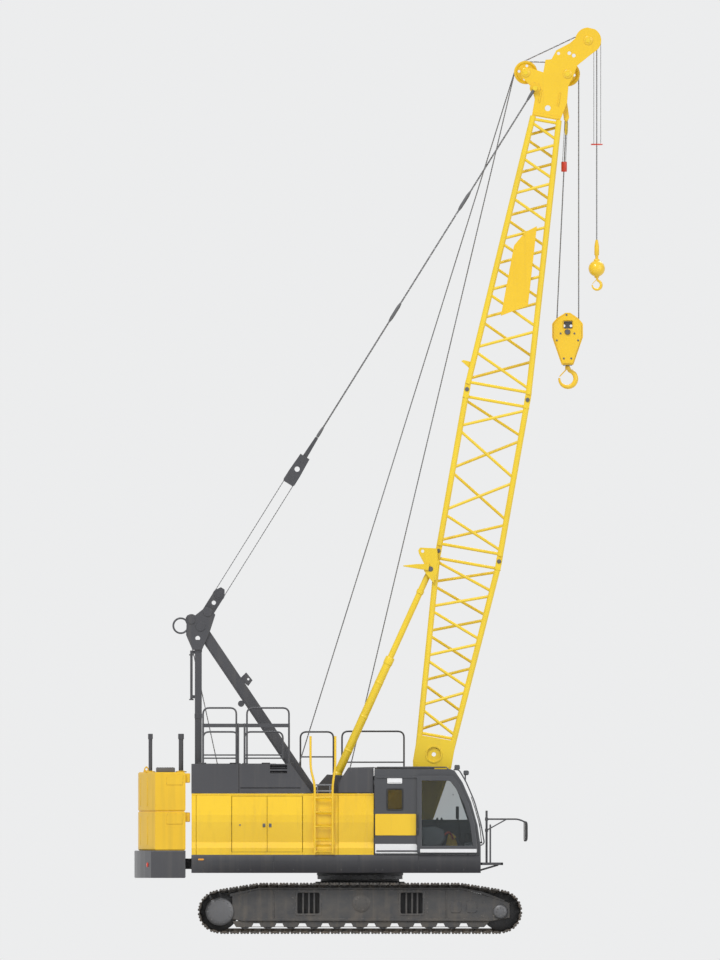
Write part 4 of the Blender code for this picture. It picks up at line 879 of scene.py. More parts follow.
def boom_sections():
    """The three lattice sections with their feet, brackets, lugs and pins."""
    leg_depth = HALF_DEPTH - (JOINT_1 - LEG_TOP) * (HALF_DEPTH - FOOT_HALF_DEPTH) / JOINT_1
    base = Piece("boom_base_section", LATTICE_YELLOW, "boom", BOOM)
    lattice(base, (LEG_TOP - 0.25, leg_depth, HALF_BREADTH), (JOINT_1 - 0.10, HALF_DEPTH, HALF_BREADTH),
            spaced(LEG_TOP + 0.06, JOINT_1 - EAR_REACH, 7))
    leg = [(-0.10, 0.0), *ring(0, 0, 0.13, 20, 180.0, 180.0), (leg_depth + 0.06, 1.45),
           (leg_depth + 0.06, LEG_TOP), (-leg_depth - 0.06, LEG_TOP), (-leg_depth - 0.06, 1.45)]
    for sign in (-1, 1):
        holes = [ring(0, 0, 0.0512, 20), ring(0, *FOOT_HOLE, 32)]
        base.side(ring(0, FOOT_HOLE[0], FOOT_HOLE[1] + 0.01, 32), sign * LEG_Y - 0.03, sign * LEG_Y + 0.03,
                  [ring(0, FOOT_HOLE[0], 0.04, 16)], 0.004)
        base.side(leg, sign * LEG_Y - 0.055, sign * LEG_Y + 0.055, holes, 0.006)
        for edge in (-0.066, 0.052):
            base.side(ring(0, FOOT_HOLE[0], FOOT_HOLE[1] + 0.035, 32), sign * LEG_Y + edge,
                      sign * LEG_Y + edge + 0.014, [ring(0, FOOT_HOLE[0], FOOT_HOLE[1] + 0.005, 32)], 0.004)
        for edge in (-0.064, 0.064):
            base.side(ring(0, 0, 0.115, 24), sign * LEG_Y + edge, sign * LEG_Y + edge * 0.8,
                      [ring(0, 0, 0.0512, 20)], 0.003)
        for front in (-1, 1):
            rib = [(front * 0.07, 0.10), (front * 0.11, 0.10), (front * (leg_depth + 0.02), 1.45),
                   (front * (leg_depth - 0.02), 1.45)]
            for edge in (-0.062, 0.050):
                base.side(rib, sign * LEG_Y + edge, sign * LEG_Y + edge + 0.012, (), 0.003)
    for front in (-1, 1):
        x = front * leg_depth
        base.flat(rect(-LEG_Y, 1.40, LEG_Y, LEG_TOP), 0.03, at(x, 0, 0) @ ENDWISE,
                  [ring(0.0, 1.67, 0.14, 28)], 0.004)
    chord_ears(base, JOINT_1, 1)
    pin_x, pin_u = BACKSTOP_PIN
    chord = -HALF_DEPTH + 0.02
    bracket = [(chord, 4.80), (chord, 5.25), (-0.61, 5.46), (-0.93, 5.42), (-0.955, 5.36), (-0.93, 5.30),
               (-0.80, 5.13), (-0.78, 5.00), (-0.70, 4.92)]
    horn = [(-0.70, 5.02), (-0.70, 5.15), (-0.95, 5.10), (-1.18, 5.035), (-1.18, 5.015)]
    for sign in (-1, 1):
        for offset in (-0.125, 0.105):
            y = sign * LEG_Y + offset
            base.side(bracket, y, y + 0.02, [ring(-0.87, 5.36, 0.03, 16)], 0.003)
        base.side(horn, sign * LEG_Y - 0.160, sign * LEG_Y - 0.124, (), 0.006)
        base.box((chord - 0.01, sign * LEG_Y - 0.125, 4.86), (chord + 0.03, sign * LEG_Y + 0.125, 5.25),
                 0.006)
    base.done(replaces=["boom_base"])

    reach = JOINT_2 - JOINT_1 - 2 * EAR_REACH
    insert = Piece("boom_insert_section", LATTICE_YELLOW, "boom", BOOM)
    lattice(insert, (JOINT_1 + 0.10, HALF_DEPTH, HALF_BREADTH), (JOINT_2 - 0.10, HALF_DEPTH, HALF_BREADTH),
            [JOINT_1 + EAR_REACH + share * reach for share in (0.0, 0.21, 0.5, 0.79, 1.0)])
    chord_ears(insert, JOINT_1, -1)
    chord_ears(insert, JOINT_2, 1)
    insert.done(replaces=["boom_insert"])

    top = Piece("boom_top_section", LATTICE_YELLOW, "boom", BOOM)
    lattice(top, (JOINT_2 + 0.10, HALF_DEPTH, HALF_BREADTH), (LATTICE_TOP, TOP_HALF_DEPTH, TOP_HALF_BREADTH),
            spaced(JOINT_2 + EAR_REACH, LATTICE_TOP - 0.08, 11, 0.942))
    chord_ears(top, JOINT_2, -1)
    for sign in (-1, 1):
        top.side([(-0.545, 8.86), (-0.545, 9.02), (-0.74, 9.035), (-0.78, 9.005), (-0.74, 8.985)],
                 sign * 0.56 - 0.015, sign * 0.56 + 0.015, (), 0.004)
    top.bar((-0.72, -0.56, 9.01), (-0.72, 0.56, 9.01), 0.022, 16)
    top.done(replaces=["boom_top"])

    section_pins(JOINT_1, 1)
    section_pins(JOINT_2, 2)
    pins = Piece("boom_foot_pins", CAST_GREY, "boom", BOOM)
    for sign in (-1, 1):
        pins.bar((pin_x, sign * LEG_Y - 0.135, pin_u), (pin_x, sign * LEG_Y + 0.135, pin_u), 0.0495, 20,
                 0.005)
    pins.done()


boom_sections()


# Boom head, sheaves and the stays

def sheave(piece, x, z, y, rim, groove, holes=0, hub=0.08):
    """A rope wheel: grooved rim, web with lightening holes and a hub."""
    half = 0.026
    web = 0.010
    seat = [(groove + 0.015 * (1 - math.cos(math.radians(turn))), 0.015 * math.sin(math.radians(turn)))
            for turn in (-75, -50, -25, 0, 25, 50, 75)]
    profile = [(groove - 0.03, web), (groove - 0.03, -web), (groove - 0.012, -half), (rim - 0.004, -half),
               (rim, 0.004 - half), *seat, (rim, half - 0.004), (rim - 0.004, half), (groove - 0.012, half)]
    piece.wheel(x, z, profile, 48, y)
    cuts = [ring(x, z, hub - 0.012, 20)]
    for middle_x, middle_z in ring(x, z, (hub + groove) / 2 - 0.008, holes or 1)[:holes]:
        cuts.append(ring(middle_x, middle_z, 0.026, 14))
    piece.side(ring(x, z, groove - 0.02, 40), y - web, y + web, cuts, 0.002)
    piece.wheel(x, z, mirrored([(0.046, -0.045), (hub - 0.004, -0.045), (hub, -0.041)]), 24, y)


def boom_head():
    """The welded head with its end box, shafts, dead end and sheaves."""
    bottom = LATTICE_TOP
    head = Piece("boom_head_frame", YELLOW, "boom", BOOM)
    outline = [(-0.27, bottom), (0.27, bottom), (0.34, 14.14), (0.31, 14.45), (0.36, 14.60), (0.41, 14.86),
               (0.62, 15.10), *ring(*TIP_SHAFT, 0.245, 14, -40.0, 110.0), (0.47, 15.595),
               *ring(*TIP_SHAFT, 0.245, 5, 120.0, 60.0), (0.20, 15.25), (-0.03, 15.07), (-0.09, 14.89),
               (-0.20, 14.86), (-0.20, 14.62), (-0.45, 14.66), *ring(-0.545, 14.60, 0.055, 4, 90.0, 90.0),
               (-0.60, 14.48), (-0.42, 14.34), (-0.36, 14.30), (-0.27, 14.09)]
    holes = [ring(0, 13.97, 0.055, 24), ring(0.22, 15.06, 0.035, 14), ring(0.31, 15.03, 0.035, 14),
             ring(0.02, 15.02, 0.03, 12)]
    for sign in (-1, 1):
        head.side(outline, sign * 0.25, sign * 0.28, holes, 0.004)
        for x, u in (HEAD_SHAFT, GUIDE_SHAFT, TIP_SHAFT):
            head.wheel(x, u, [(0.0, sign * 0.275), (0.085, sign * 0.275), (0.085, sign * 0.288),
                              (0.080, sign * 0.292), (0.0, sign * 0.292)], 28)
        head.wheel(*STAY_PIN, rect(0.0, sign * 0.275, 0.10, sign * 0.290), 28)
        head.side(rounded_box(-0.24, bottom + 0.02, 0.24, bottom + 0.07, 0.02), sign * 0.278, sign * 0.290)
        for x in (-0.18, 0.18):
            head.side(rect(x - 0.012, 14.05, x + 0.012, 14.30),
                      sign * 0.278, sign * 0.296)
    for x in (-0.27, 0.24):
        head.box((x, -0.26, bottom + 0.0005), (x + 0.03, 0.26, 14.12), 0.005)
    head.box((-0.25, -0.26, 14.08), (0.25, 0.26, 14.12), 0.004)
    head.bar((-0.1, -0.26, 14.72), (-0.1, 0.26, 14.72), 0.04, 20)
    head.bar((0.42, -0.26, 15.20), (0.42, 0.26, 15.20), 0.03, 16)
    end_x, end_u = DEAD_END
    anchor = [(0.28, 14.20), (0.34, 14.14), (end_x + 0.05, end_u + 0.04),
              *ring(end_x, end_u, 0.045, 10, 0.0, -180.0), (0.29, 13.95), (0.24, 13.98)]
    for y in (-0.17, 0.0, 0.17):
        head.side(anchor, y - 0.012, y + 0.012, (), 0.003)
    head.done(replaces=["boom_head"])

    shafts = Piece("boom_head_shafts", LATTICE_YELLOW, "boom", BOOM)
    for x, u in (HEAD_SHAFT, GUIDE_SHAFT, TIP_SHAFT):
        shafts.bar((x, -0.30, u), (x, 0.30, u), 0.0448, 24, 0.004)
        for sign in (-1, 1):
            for across, up in ring(x, u, 0.066, 6):
                shafts.bolt((across, sign * 0.290, up), (0, sign, 0), 0.006)
    for sign in (-1, 1):
        shafts.bar((STAY_PIN[0], sign * 0.27, STAY_PIN[1]), (STAY_PIN[0], sign * 0.36, STAY_PIN[1]), 0.049,
                   24, 0.004)
    shafts.bar((end_x, -0.19, end_u), (end_x, 0.19, end_u), 0.03, 20, 0.003)
    shafts.done()

    groove = FALL_RADIUS - ROPE_RADIUS - 0.003
    for name, places, shaft, rim, seat, holes in (
        ("head_sheaves", (-FALL_Y, FALL_Y), HEAD_SHAFT, 0.235, groove, 6),
        ("guide_sheaves", (-0.08, 0.08), GUIDE_SHAFT, 0.22, 0.19, 4),
        ("tip_sheave", (0.0,), TIP_SHAFT, 0.20, TIP_ROPE_RADIUS - ROPE_RADIUS - 0.003, 0),
    ):
        wheels = Piece(name + "_detailed", YELLOW, "boom", BOOM)
        for y in places:
            sheave(wheels, *shaft, y, rim, seat, holes)
        wheels.done(replaces=[name])

    plate = Piece("boom_blank_plate", YELLOW, "boom", BOOM)
    lean = math.atan2(HALF_BREADTH - TOP_HALF_BREADTH, LATTICE_TOP - JOINT_2)
    middle = at(0.0, -0.545, PLATE_U) @ Matrix.Rotation(-lean, 4, "X")
    corners = [(-0.191, 9.97), (0.279, 10.25), (0.185, 11.754), (-0.017, 11.604), (-0.177, 11.318)]
    plate.flat([(x, u - PLATE_U) for x, u in corners], 0.012, middle @ turned(90, "X"))
    for x, u in ((-0.16, -0.78), (0.23, -0.52), (0.155, 0.84), (-0.02, 0.70), (-0.145, 0.42), (0.20, 0.15),
                 (-0.155, -0.2)):
        plate.bar(middle @ Vector((x, -0.010, u)), middle @ Vector((x, 0.03, u)), 0.012, 12)
    plate.done()


def plate_row(piece, outline, places, half, holes=(), bevel=0.003):
    """The same side-view plate at several places across the machine."""
    for y in places:
        piece.side(outline, y - half, y + half, holes, bevel)


def stays():
    """Peak block, spreader, their sheaves and reeving, and the pendants to the boom head."""
    peak = Piece("peak_block_frame", CHARCOAL, "stay_swing", STAY)
    strap = ring(0, 0, 0.11, 16, 180.0, 180.0) + [(0.11, 0.42), (0.04, 0.53), (-0.04, 0.53), (-0.11, 0.42)]
    plate_row(peak, strap, (-0.42, 0.42), 0.015, [ring(0, 0, 0.0515, 20), ring(0, 0.21, 0.04, 16)])
    peak.bar((0, -0.45, 0.38), (0, 0.45, 0.38), 0.05, 24, 0.004)
    for sign in (-1, 1):
        peak.wheel(0, 0.38, rect(0.0, sign * 0.43, 0.075, sign * 0.445), 24)
    peak.done(replaces=["peak_block"])
    start, end = 2.85, 3.45
    spreader = Piece("spreader_frame", CHARCOAL, "stays", STAY)
    cheek = [(-0.10, start), (0.10, start), (0.12, start + 0.03), (0.12, start + 0.22), (0.10, end),
             (-0.10, end), (-0.12, start + 0.22), (-0.12, start + 0.03)]
    plate_row(spreader, cheek, (-0.34, 0.34), 0.015, [ring(0, start + 0.32, 0.05, 16)])
    spreader.bar((0, -0.36, start + 0.12), (0, 0.36, start + 0.12), 0.06, 24, 0.004)
    spreader.bar((0, -0.36, end - 0.1), (0, 0.36, end - 0.1), 0.04, 20, 0.004)
    for y in (-0.3, 0.3):
        for side in (-0.014, 0.014):
            spreader.side([(-0.05, end - 0.15), (0.05, end - 0.15), (0.03, end + 0.42), (-0.03, end + 0.42)],
                          y + side - 0.006, y + side + 0.006, [ring(0, end - 0.1, 0.0405, 16)], 0.002)
        spreader.box((-0.02, y - 0.02, end + 0.36), (0.02, y + 0.02, end + 0.42), 0.004)
    spreader.done(replaces=["spreader"])
    lines = 10
    wheels = Piece("peak_sheaves", CAST_GREY, "stay_swing", STAY)
    low_wheels = Piece("spreader_sheaves", CAST_GREY, "stays", STAY)
    reeving = Piece("spreader_reeving", WIRE, None, STAY)
    for number in range(lines // 2):
        y = 0.25 * (number / (lines // 2 - 1) * 2 - 1)
        sheave(wheels, 0, 0.38, y, 0.115, 0.09, 0, 0.062)
        sheave(low_wheels, 0, start + 0.12, y, 0.115, 0.09, 0, 0.072)
        for sign in (-1, 1):
            reeving.rope([(sign * 0.099, y, 0.38), (sign * 0.099, y, start + 0.12)], 0.009, 0.06)
    wheels.done()
    low_wheels.done()
    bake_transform(reeving.done())

    pin = STAY.inverted() @ BOOM @ Vector((STAY_PIN[0], 0.0, STAY_PIN[1]))
    reach = pin.z - 0.05
    for name, y in (("right_pendant", -0.32), ("left_pendant", 0.32)):
        low = Vector((0, y * 0.9375, end + 0.43))
        top = Vector((0, y, reach))
        run = (top - low).normalized()
        line = Piece(name + "_rope", WIRE, "stays", STAY)
        line.rope([low, top], 0.018, 0.05)
        line.done()
        fittings = Piece(name + "_fittings", CAST_GREY, "stays", STAY)
        for foot, way in ((low, run), (top, -run)):
            fittings.tube([foot, foot + way * 0.05, foot + way * 0.13, foot + way * 0.22],
                          [0.026, 0.030, 0.028, 0.020], 16)
            fittings.box(foot - Vector((0.012, 0.034, 0.012)), foot + Vector((0.012, 0.034, 0.04)), 0.004)
        for share in (0.36, 0.68):
            middle = low.lerp(top, share)
            fittings.tube([middle - run * 0.20, middle - run * 0.12, middle + run * 0.12,
                           middle + run * 0.20], [0.021, 0.032, 0.032, 0.021], 14)
        fittings.done(replaces=[name])


def backstops():
    """Telescopic struts with collars, eyes and stop rings."""
    tubes = Piece("backstop_barrels", LATTICE_YELLOW, "backstop_tubes", STOP)
    rods = Piece("backstop_inner_tubes", LATTICE_YELLOW, "backstop_rods", STOP)
    pin = STOP.inverted() @ BOOM @ Vector((BACKSTOP_PIN[0], 0.0, BACKSTOP_PIN[1]))
    reach = pin.z - 0.05
    for sign in (-1, 1):
        y = sign * LEG_Y
        lie = at(0, y, 0)
        tubes.lathe([(0.074, 0.16), (0.078, 0.17), (0.078, 2.40), (0.088, 2.41), (0.088, 2.53),
                     (0.082, 2.55), (0.062, 2.55), (0.062, 0.16)], lie, 32)
        tubes.lathe([(0.0, 0.10), (0.088, 0.10), (0.088, 0.165), (0.078, 0.18), (0.0, 0.18)], lie, 32)
        eye = ring(0, 0, 0.085, 16, 180.0, 180.0) + [(0.085, 0.14), (-0.085, 0.14)]
        tubes.side(eye, y - 0.05, y + 0.05, [ring(0, 0, 0.0475, 20)], 0.005)
        for turn in range(3):
            tubes.lathe([(0.077, 0.6 + turn * 0.7), (0.081, 0.605 + turn * 0.7), (0.081, 0.645 + turn * 0.7),
                         (0.077, 0.65 + turn * 0.7)], lie, 32)
        rods.lathe([(0.0, 0.55), (0.058, 0.55), (0.058, reach - 0.14), (0.050, reach - 0.03), (0.042, reach),
                    (0.0, reach)], lie, 28)
        rods.lathe([(0.058, 3.86), (0.070, 3.865), (0.070, 3.935), (0.058, 3.94)], lie, 28)
    tubes.bar((0, 0.08 - LEG_Y, 2.3), (0, LEG_Y - 0.08, 2.3), 0.03, 16)
    rods.bar((0, -LEG_Y, 3.9), (0, LEG_Y, 3.9), 0.03, 16)
    tubes.done(replaces=["backstop_tubes"])
    rods.done(replaces=["backstop_rods_inner"])


boom_head()
stays()
backstops()


# Ropes and hooks

def tangent(first, first_radius, second, second_radius):
    """Direction, in degrees, of the two contact points of a line on the left of two circles."""
    run = Vector(second) - Vector(first)
    spread = math.acos((first_radius - second_radius) / run.length)
    return math.degrees(math.atan2(run.y, run.x) + spread)


def on_circle(centre, radius, turn):
    """A point of a circle in side view."""
    return (centre[0] + radius * math.cos(math.radians(turn)),
            centre[1] + radius * math.sin(math.radians(turn)))


def side_place(matrix, x, u):
    """A point of a frame in swing coordinates, in side view."""
    point = SWING.inverted() @ matrix @ Vector((x, 0.0, u))
    return (point.x, point.z)


def hoist_rope(name, drum, y_drum, y_guide, shaft, y_shaft, radius):
    """A rope from its drum over a guide sheave to a sheave of the head."""
    x, z, barrel, _ = DRUMS[drum]
    guide = side_place(BOOM, *GUIDE_SHAFT)
    goal = side_place(BOOM, *shaft)
    guide_radius = 0.19 + ROPE_RADIUS
    drum_radius = barrel + 0.035
    away = tangent((x, z), drum_radius, guide, guide_radius)
    onward = tangent(guide, guide_radius, goal, radius)
    a, b = on_circle((x, z), drum_radius, away)
    path = [(a, y_drum, b)]
    path += [(a, y_guide, b) for a, b in ring(*guide, guide_radius, 12, away, onward - away)]
    path += [(a, y_shaft, b) for a, b in ring(*goal, radius, 6, onward, -35.0)]
    rope = Piece(name, WIRE, None)
    rope.rope(path, ROPE_RADIUS, 0.04)
    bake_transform(rope.done())


def drums():
    """Winch drums wound with rope, with flanges and bolted ends."""
    for name, (x, z, barrel, flange) in DRUMS.items():
        drum = Piece(name + "_shell", CAST_GREY)
        half = 0.43
        end = [(0.0, 0.722), (0.06, 0.722), (0.07, 0.712), (0.07, 0.50), (0.15, 0.49), (0.15, 0.46),
               (flange - 0.01, 0.46), (flange, 0.45), (flange, 0.435), (flange - 0.01, half), (barrel, half)]
        drum.wheel(x, z, mirrored(end), 48)
        for sign in (-1, 1):
            drum.bolts(ring(x, z, 0.125, 8), sign * 0.49, sign, 0.012)
            drum.bolts(ring(x, z, flange - 0.045, 16), sign * 0.46, sign, 0.010)
        drum.done(replaces=[name])
        wound = Piece(name + "_rope", WIRE)
        turns = 30
        pitch = 2 * (half - 0.006) / turns
        profile = [(barrel + 0.001, -half + 0.004)]
        for turn in range(turns):
            low = -half + 0.006 + turn * pitch
            for share in (0.0, 0.2, 0.5, 0.8):
                bulge = math.sin(math.pi * share) * pitch * 0.45
                profile.append((barrel + 0.020 + bulge, low + share * pitch))
        profile.append((barrel + 0.001, half - 0.004))
        wound.wheel(x, z, profile, 48)
        wound.done()


def falls():
    """The two parts of line over the head and block sheaves, kept plumb."""
    drop = BLOCK_SHAFT_Z - HEAD.translation.z
    anchor = HEAD.inverted() @ BOOM @ Vector((DEAD_END[0], 0.0, DEAD_END[1]))
    for name, y in (("right_main_fall", -FALL_Y), ("left_main_fall", FALL_Y)):
        path = [(a, y, b) for a, b in ring(0, 0, FALL_RADIUS, 20, 150.0, -150.0)]
        path += [(a, y, b + drop) for a, b in ring(0, 0, FALL_RADIUS, 24, 0.0, -180.0)]
        path.append((anchor.x, y, anchor.z - 0.05))
        rope = Piece(name + "_rope", WIRE, None, HEAD)
        rope.rope(path, ROPE_RADIUS, 0.045)
        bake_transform(rope.done(replaces=[name]))
        socket = Piece(name + "_wedge_socket", LATTICE_YELLOW, "main_line", HEAD)
        foot = Vector((anchor.x, y, anchor.z - 0.30))
        top = Vector((anchor.x, y, anchor.z - 0.035))
        socket.tube([foot, foot.lerp(top, 0.2), foot.lerp(top, 0.8), top], [0.022, 0.036, 0.042, 0.030], 16,
                    flat=0.7)
        socket.done()
    weight = Piece("hoist_limit_weight", RED, "main_line", HEAD)
    lower = at(anchor.x - 0.040, -FALL_Y, 14.33 - HEAD.translation.z)
    weight.lathe([(0.020, 0.0), (0.048, 0.0), (0.054, 0.01), (0.054, 0.18), (0.048, 0.19), (0.020, 0.19)],
                 lower, 28)
    weight.done()
    chains = Piece("hoist_limit_chains", WIRE, "main_line", HEAD)
    for side in (-1, 1):
        top = Vector((anchor.x + side * 0.025, -0.13, anchor.z - 0.01))
        foot = Vector((anchor.x - 0.040 + side * 0.030, -0.125, 14.515 - HEAD.translation.z))
        chains.rope([top, foot], 0.006, 0.05)
    chains.done()


def hook_path(radius, centre_z, steps=22):
    """The centre line of a hook: down the shank, round the bowl and up to the tip."""
    points = [(0.0, 0.0, centre_z + radius * 1.5)]
    for step in range(steps + 1):
        angle = math.radians(75.0 - 260.0 * step / steps)
        points.append((radius * math.cos(angle), 0.0, centre_z + radius * math.sin(angle)))
    return points


def hook(piece, radius, centre_z, thick):
    """A forged hook that swells at its bowl and narrows to its tip, with a spring latch."""
    path = hook_path(radius, centre_z)
    last = len(path) - 1
    radii = []
    for number in range(last + 1):
        share = number / last
        swell = 0.72 + 0.28 * math.sin(math.pi * min(share * 1.15, 1.0))
        radii.append(thick * swell * (1.0 - 0.45 * share ** 4))
    piece.tube(path, radii, 20, flat=0.82)
    tip = Vector(path[-1])
    piece.bar(Vector((-thick * 0.35, 0, centre_z + radius * 1.15)),
              tip + Vector((thick * 0.1, 0, thick * 0.5)), thick * 0.20, 10)


def hook_block():
    """The block with its cheek plates, weights, sheaves, trunnion and swivelling hook."""
    place = HEAD @ at(0, 0, BLOCK_SHAFT_Z - HEAD.translation.z)
    block = Piece("hook_block_frame", YELLOW, "main_block", place)
    cheek = [(-0.04, 0.36), (0.05, 0.36), (0.20, 0.26), *ring(0.22, 0.13, 0.07, 5, 45.0, -45.0),
             (0.29, -0.10), (0.11, -0.62), (-0.11, -0.62), (-0.29, -0.10),
             *ring(-0.22, 0.13, 0.07, 5, 180.0, -45.0), (-0.20, 0.26)]
    window = rounded_box(-0.07, 0.06, 0.09, 0.20, 0.02)
    for sign in (-1, 1):
        block.side(cheek, sign * 0.150, sign * 0.170, [window, ring(0, 0, 0.049, 20)], 0.004)
        inner = [(x * 0.90, z * 0.94 - 0.01) for x, z in cheek]
        block.side(inner, sign * 0.172, sign * 0.200,
                   [rounded_box(-0.09, 0.045, 0.10, 0.215, 0.03), ring(0, 0, 0.049, 20)], 0.008)
    block.box((-0.10, -0.148, -0.60), (0.10, 0.148, -0.42), 0.012)
    block.bar((-0.02, -0.16, 0.32), (-0.02, 0.16, 0.32), 0.03, 20)
    for x in (-0.20, 0.20):
        block.bar((x, -0.16, -0.16), (x, 0.16, -0.16), 0.022, 16)
    block.done(replaces=["hook_block"])
    steel = Piece("hook_block_pins", CAST_GREY, "main_block", place)
    steel.bar((0, -0.23, 0), (0, 0.23, 0), 0.0485, 24, 0.005)
    for sign in (-1, 1):
        steel.bolts(((-0.13, -0.03), (0.13, -0.03), (-0.02, 0.32), (-0.20, -0.16), (0.20, -0.16),
                     (-0.07, -0.50), (0.07, -0.50)), sign * 0.199, sign, 0.014)
    steel.lathe([(0.048, -0.635), (0.085, -0.635), (0.09, -0.625), (0.09, -0.605), (0.048, -0.603)],
                Matrix(), 28)
    steel.done()
    wheels = Piece("block_sheaves_detailed", CAST_GREY, "main_block", place)
    for y in (-FALL_Y, FALL_Y):
        sheave(wheels, 0, 0, y, 0.235, FALL_RADIUS - ROPE_RADIUS, 6)
    wheels.done(replaces=["block_sheaves"])
    forged = Piece("main_hook_forging", YELLOW, "main_hook", SWIVEL)
    forged.lathe([(0.0, 0.26), (0.030, 0.26), (0.036, 0.252), (0.036, -0.02), (0.046, -0.03), (0.046, -0.07),
                  (0.036, -0.09), (0.0, -0.09)], Matrix(), 24)
    hook(forged, 0.155, -0.26, 0.055)
    forged.done(replaces=["main_hook"])


def ball_hook():
    """The line over the tip sheave with its red marker, its socket, the ball and the small hook."""
    drop = BALL_Z - TIP.translation.z
    r = TIP_ROPE_RADIUS
    path = [(a, 0.0, b) for a, b in ring(0, 0, r, 14, 110.0, -110.0)]
    path.append((r, 0.0, drop + 0.46))
    rope = Piece("tip_line_rope", WIRE, None, TIP)
    rope.rope(path, ROPE_RADIUS, 0.04)
    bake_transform(rope.done(replaces=["tip_rope"]))
    place = TIP @ at(r, 0, drop)
    ball = Piece("ball_weight", YELLOW, "ball", place)
    sphere = [(0.0, BALL_RADIUS), *ring(0, 0, BALL_RADIUS, 24, 82.0, -164.0), (0.0, -BALL_RADIUS)]
    ball.lathe(sphere, Matrix(), 40)
    ball.lathe([(0.0, 0.13), (0.055, 0.13), (0.055, 0.165), (0.045, 0.18), (0.0, 0.18)], Matrix(), 24)
    ball.lathe([(0.0, 0.18), (0.030, 0.18), (0.030, 0.24), (0.046, 0.26), (0.044, 0.42), (0.024, 0.54),
                (0.0, 0.54)], Matrix(), 24)
    ball.lathe([(0.0, -0.13), (0.045, -0.13), (0.045, -0.17), (0.028, -0.18), (0.0, -0.19)], Matrix(), 24)
    hook(ball, 0.085, -0.31, 0.032)
    ball.done(replaces=["ball_hook"])
    disc = Piece("tip_limit_disc", RED, "tip_line", TIP)
    disc.lathe([(0.020, 0.0), (0.105, 0.0), (0.112, 0.006), (0.112, 0.022), (0.105, 0.028), (0.020, 0.028)],
               at(r, 0, 14.83 - TIP.translation.z), 36)
    disc.done()
    lines = Piece("tip_limit_lines", WIRE, "tip_line", TIP)
    for x, z in ((0.105, -0.20), (0.235, -0.03)):
        lines.rope([(x, 0.045, z), (x, 0.045, 14.86 - TIP.translation.z)], 0.006, 0.05)
    lines.done()


drums()
hoist_rope("main_hoist_rope", "front_hoist_drum", -0.05, -0.08, HEAD_SHAFT, -FALL_Y, FALL_RADIUS)
hoist_rope("tip_hoist_rope", "rear_hoist_drum", 0.05, 0.08, TIP_SHAFT, 0.0, TIP_ROPE_RADIUS)
falls()
hook_block()
ball_hook()


# Houses and covers

def skin_inset(height):
    """How far the outer face of a house stands in at a height."""
    for (low_inset, low), (high_inset, high) in zip(SKIN, SKIN[1:]):
        if height <= high:
            return low_inset + (high_inset - low_inset) * (height - low) / (high - low)
    return SKIN[-1][0]


def skin(sign, depth, low, high):
    """The pressed outer face of a house in end view (y, z) between two heights, set in by depth."""
    points = [(skin_inset(low), low)]
    points += [(inset, z) for inset, z in SKIN if low < z < high]
    points.append((skin_inset(high), high))
    return [(sign * (HALF_WIDTH - inset - depth), z) for inset, z in points]


def pressed(sign, low, high):
    """A pressed sheet's closed outline in end view."""
    return skin(sign, 0.0, low, high) + skin(sign, 0.03, low, high)[::-1]


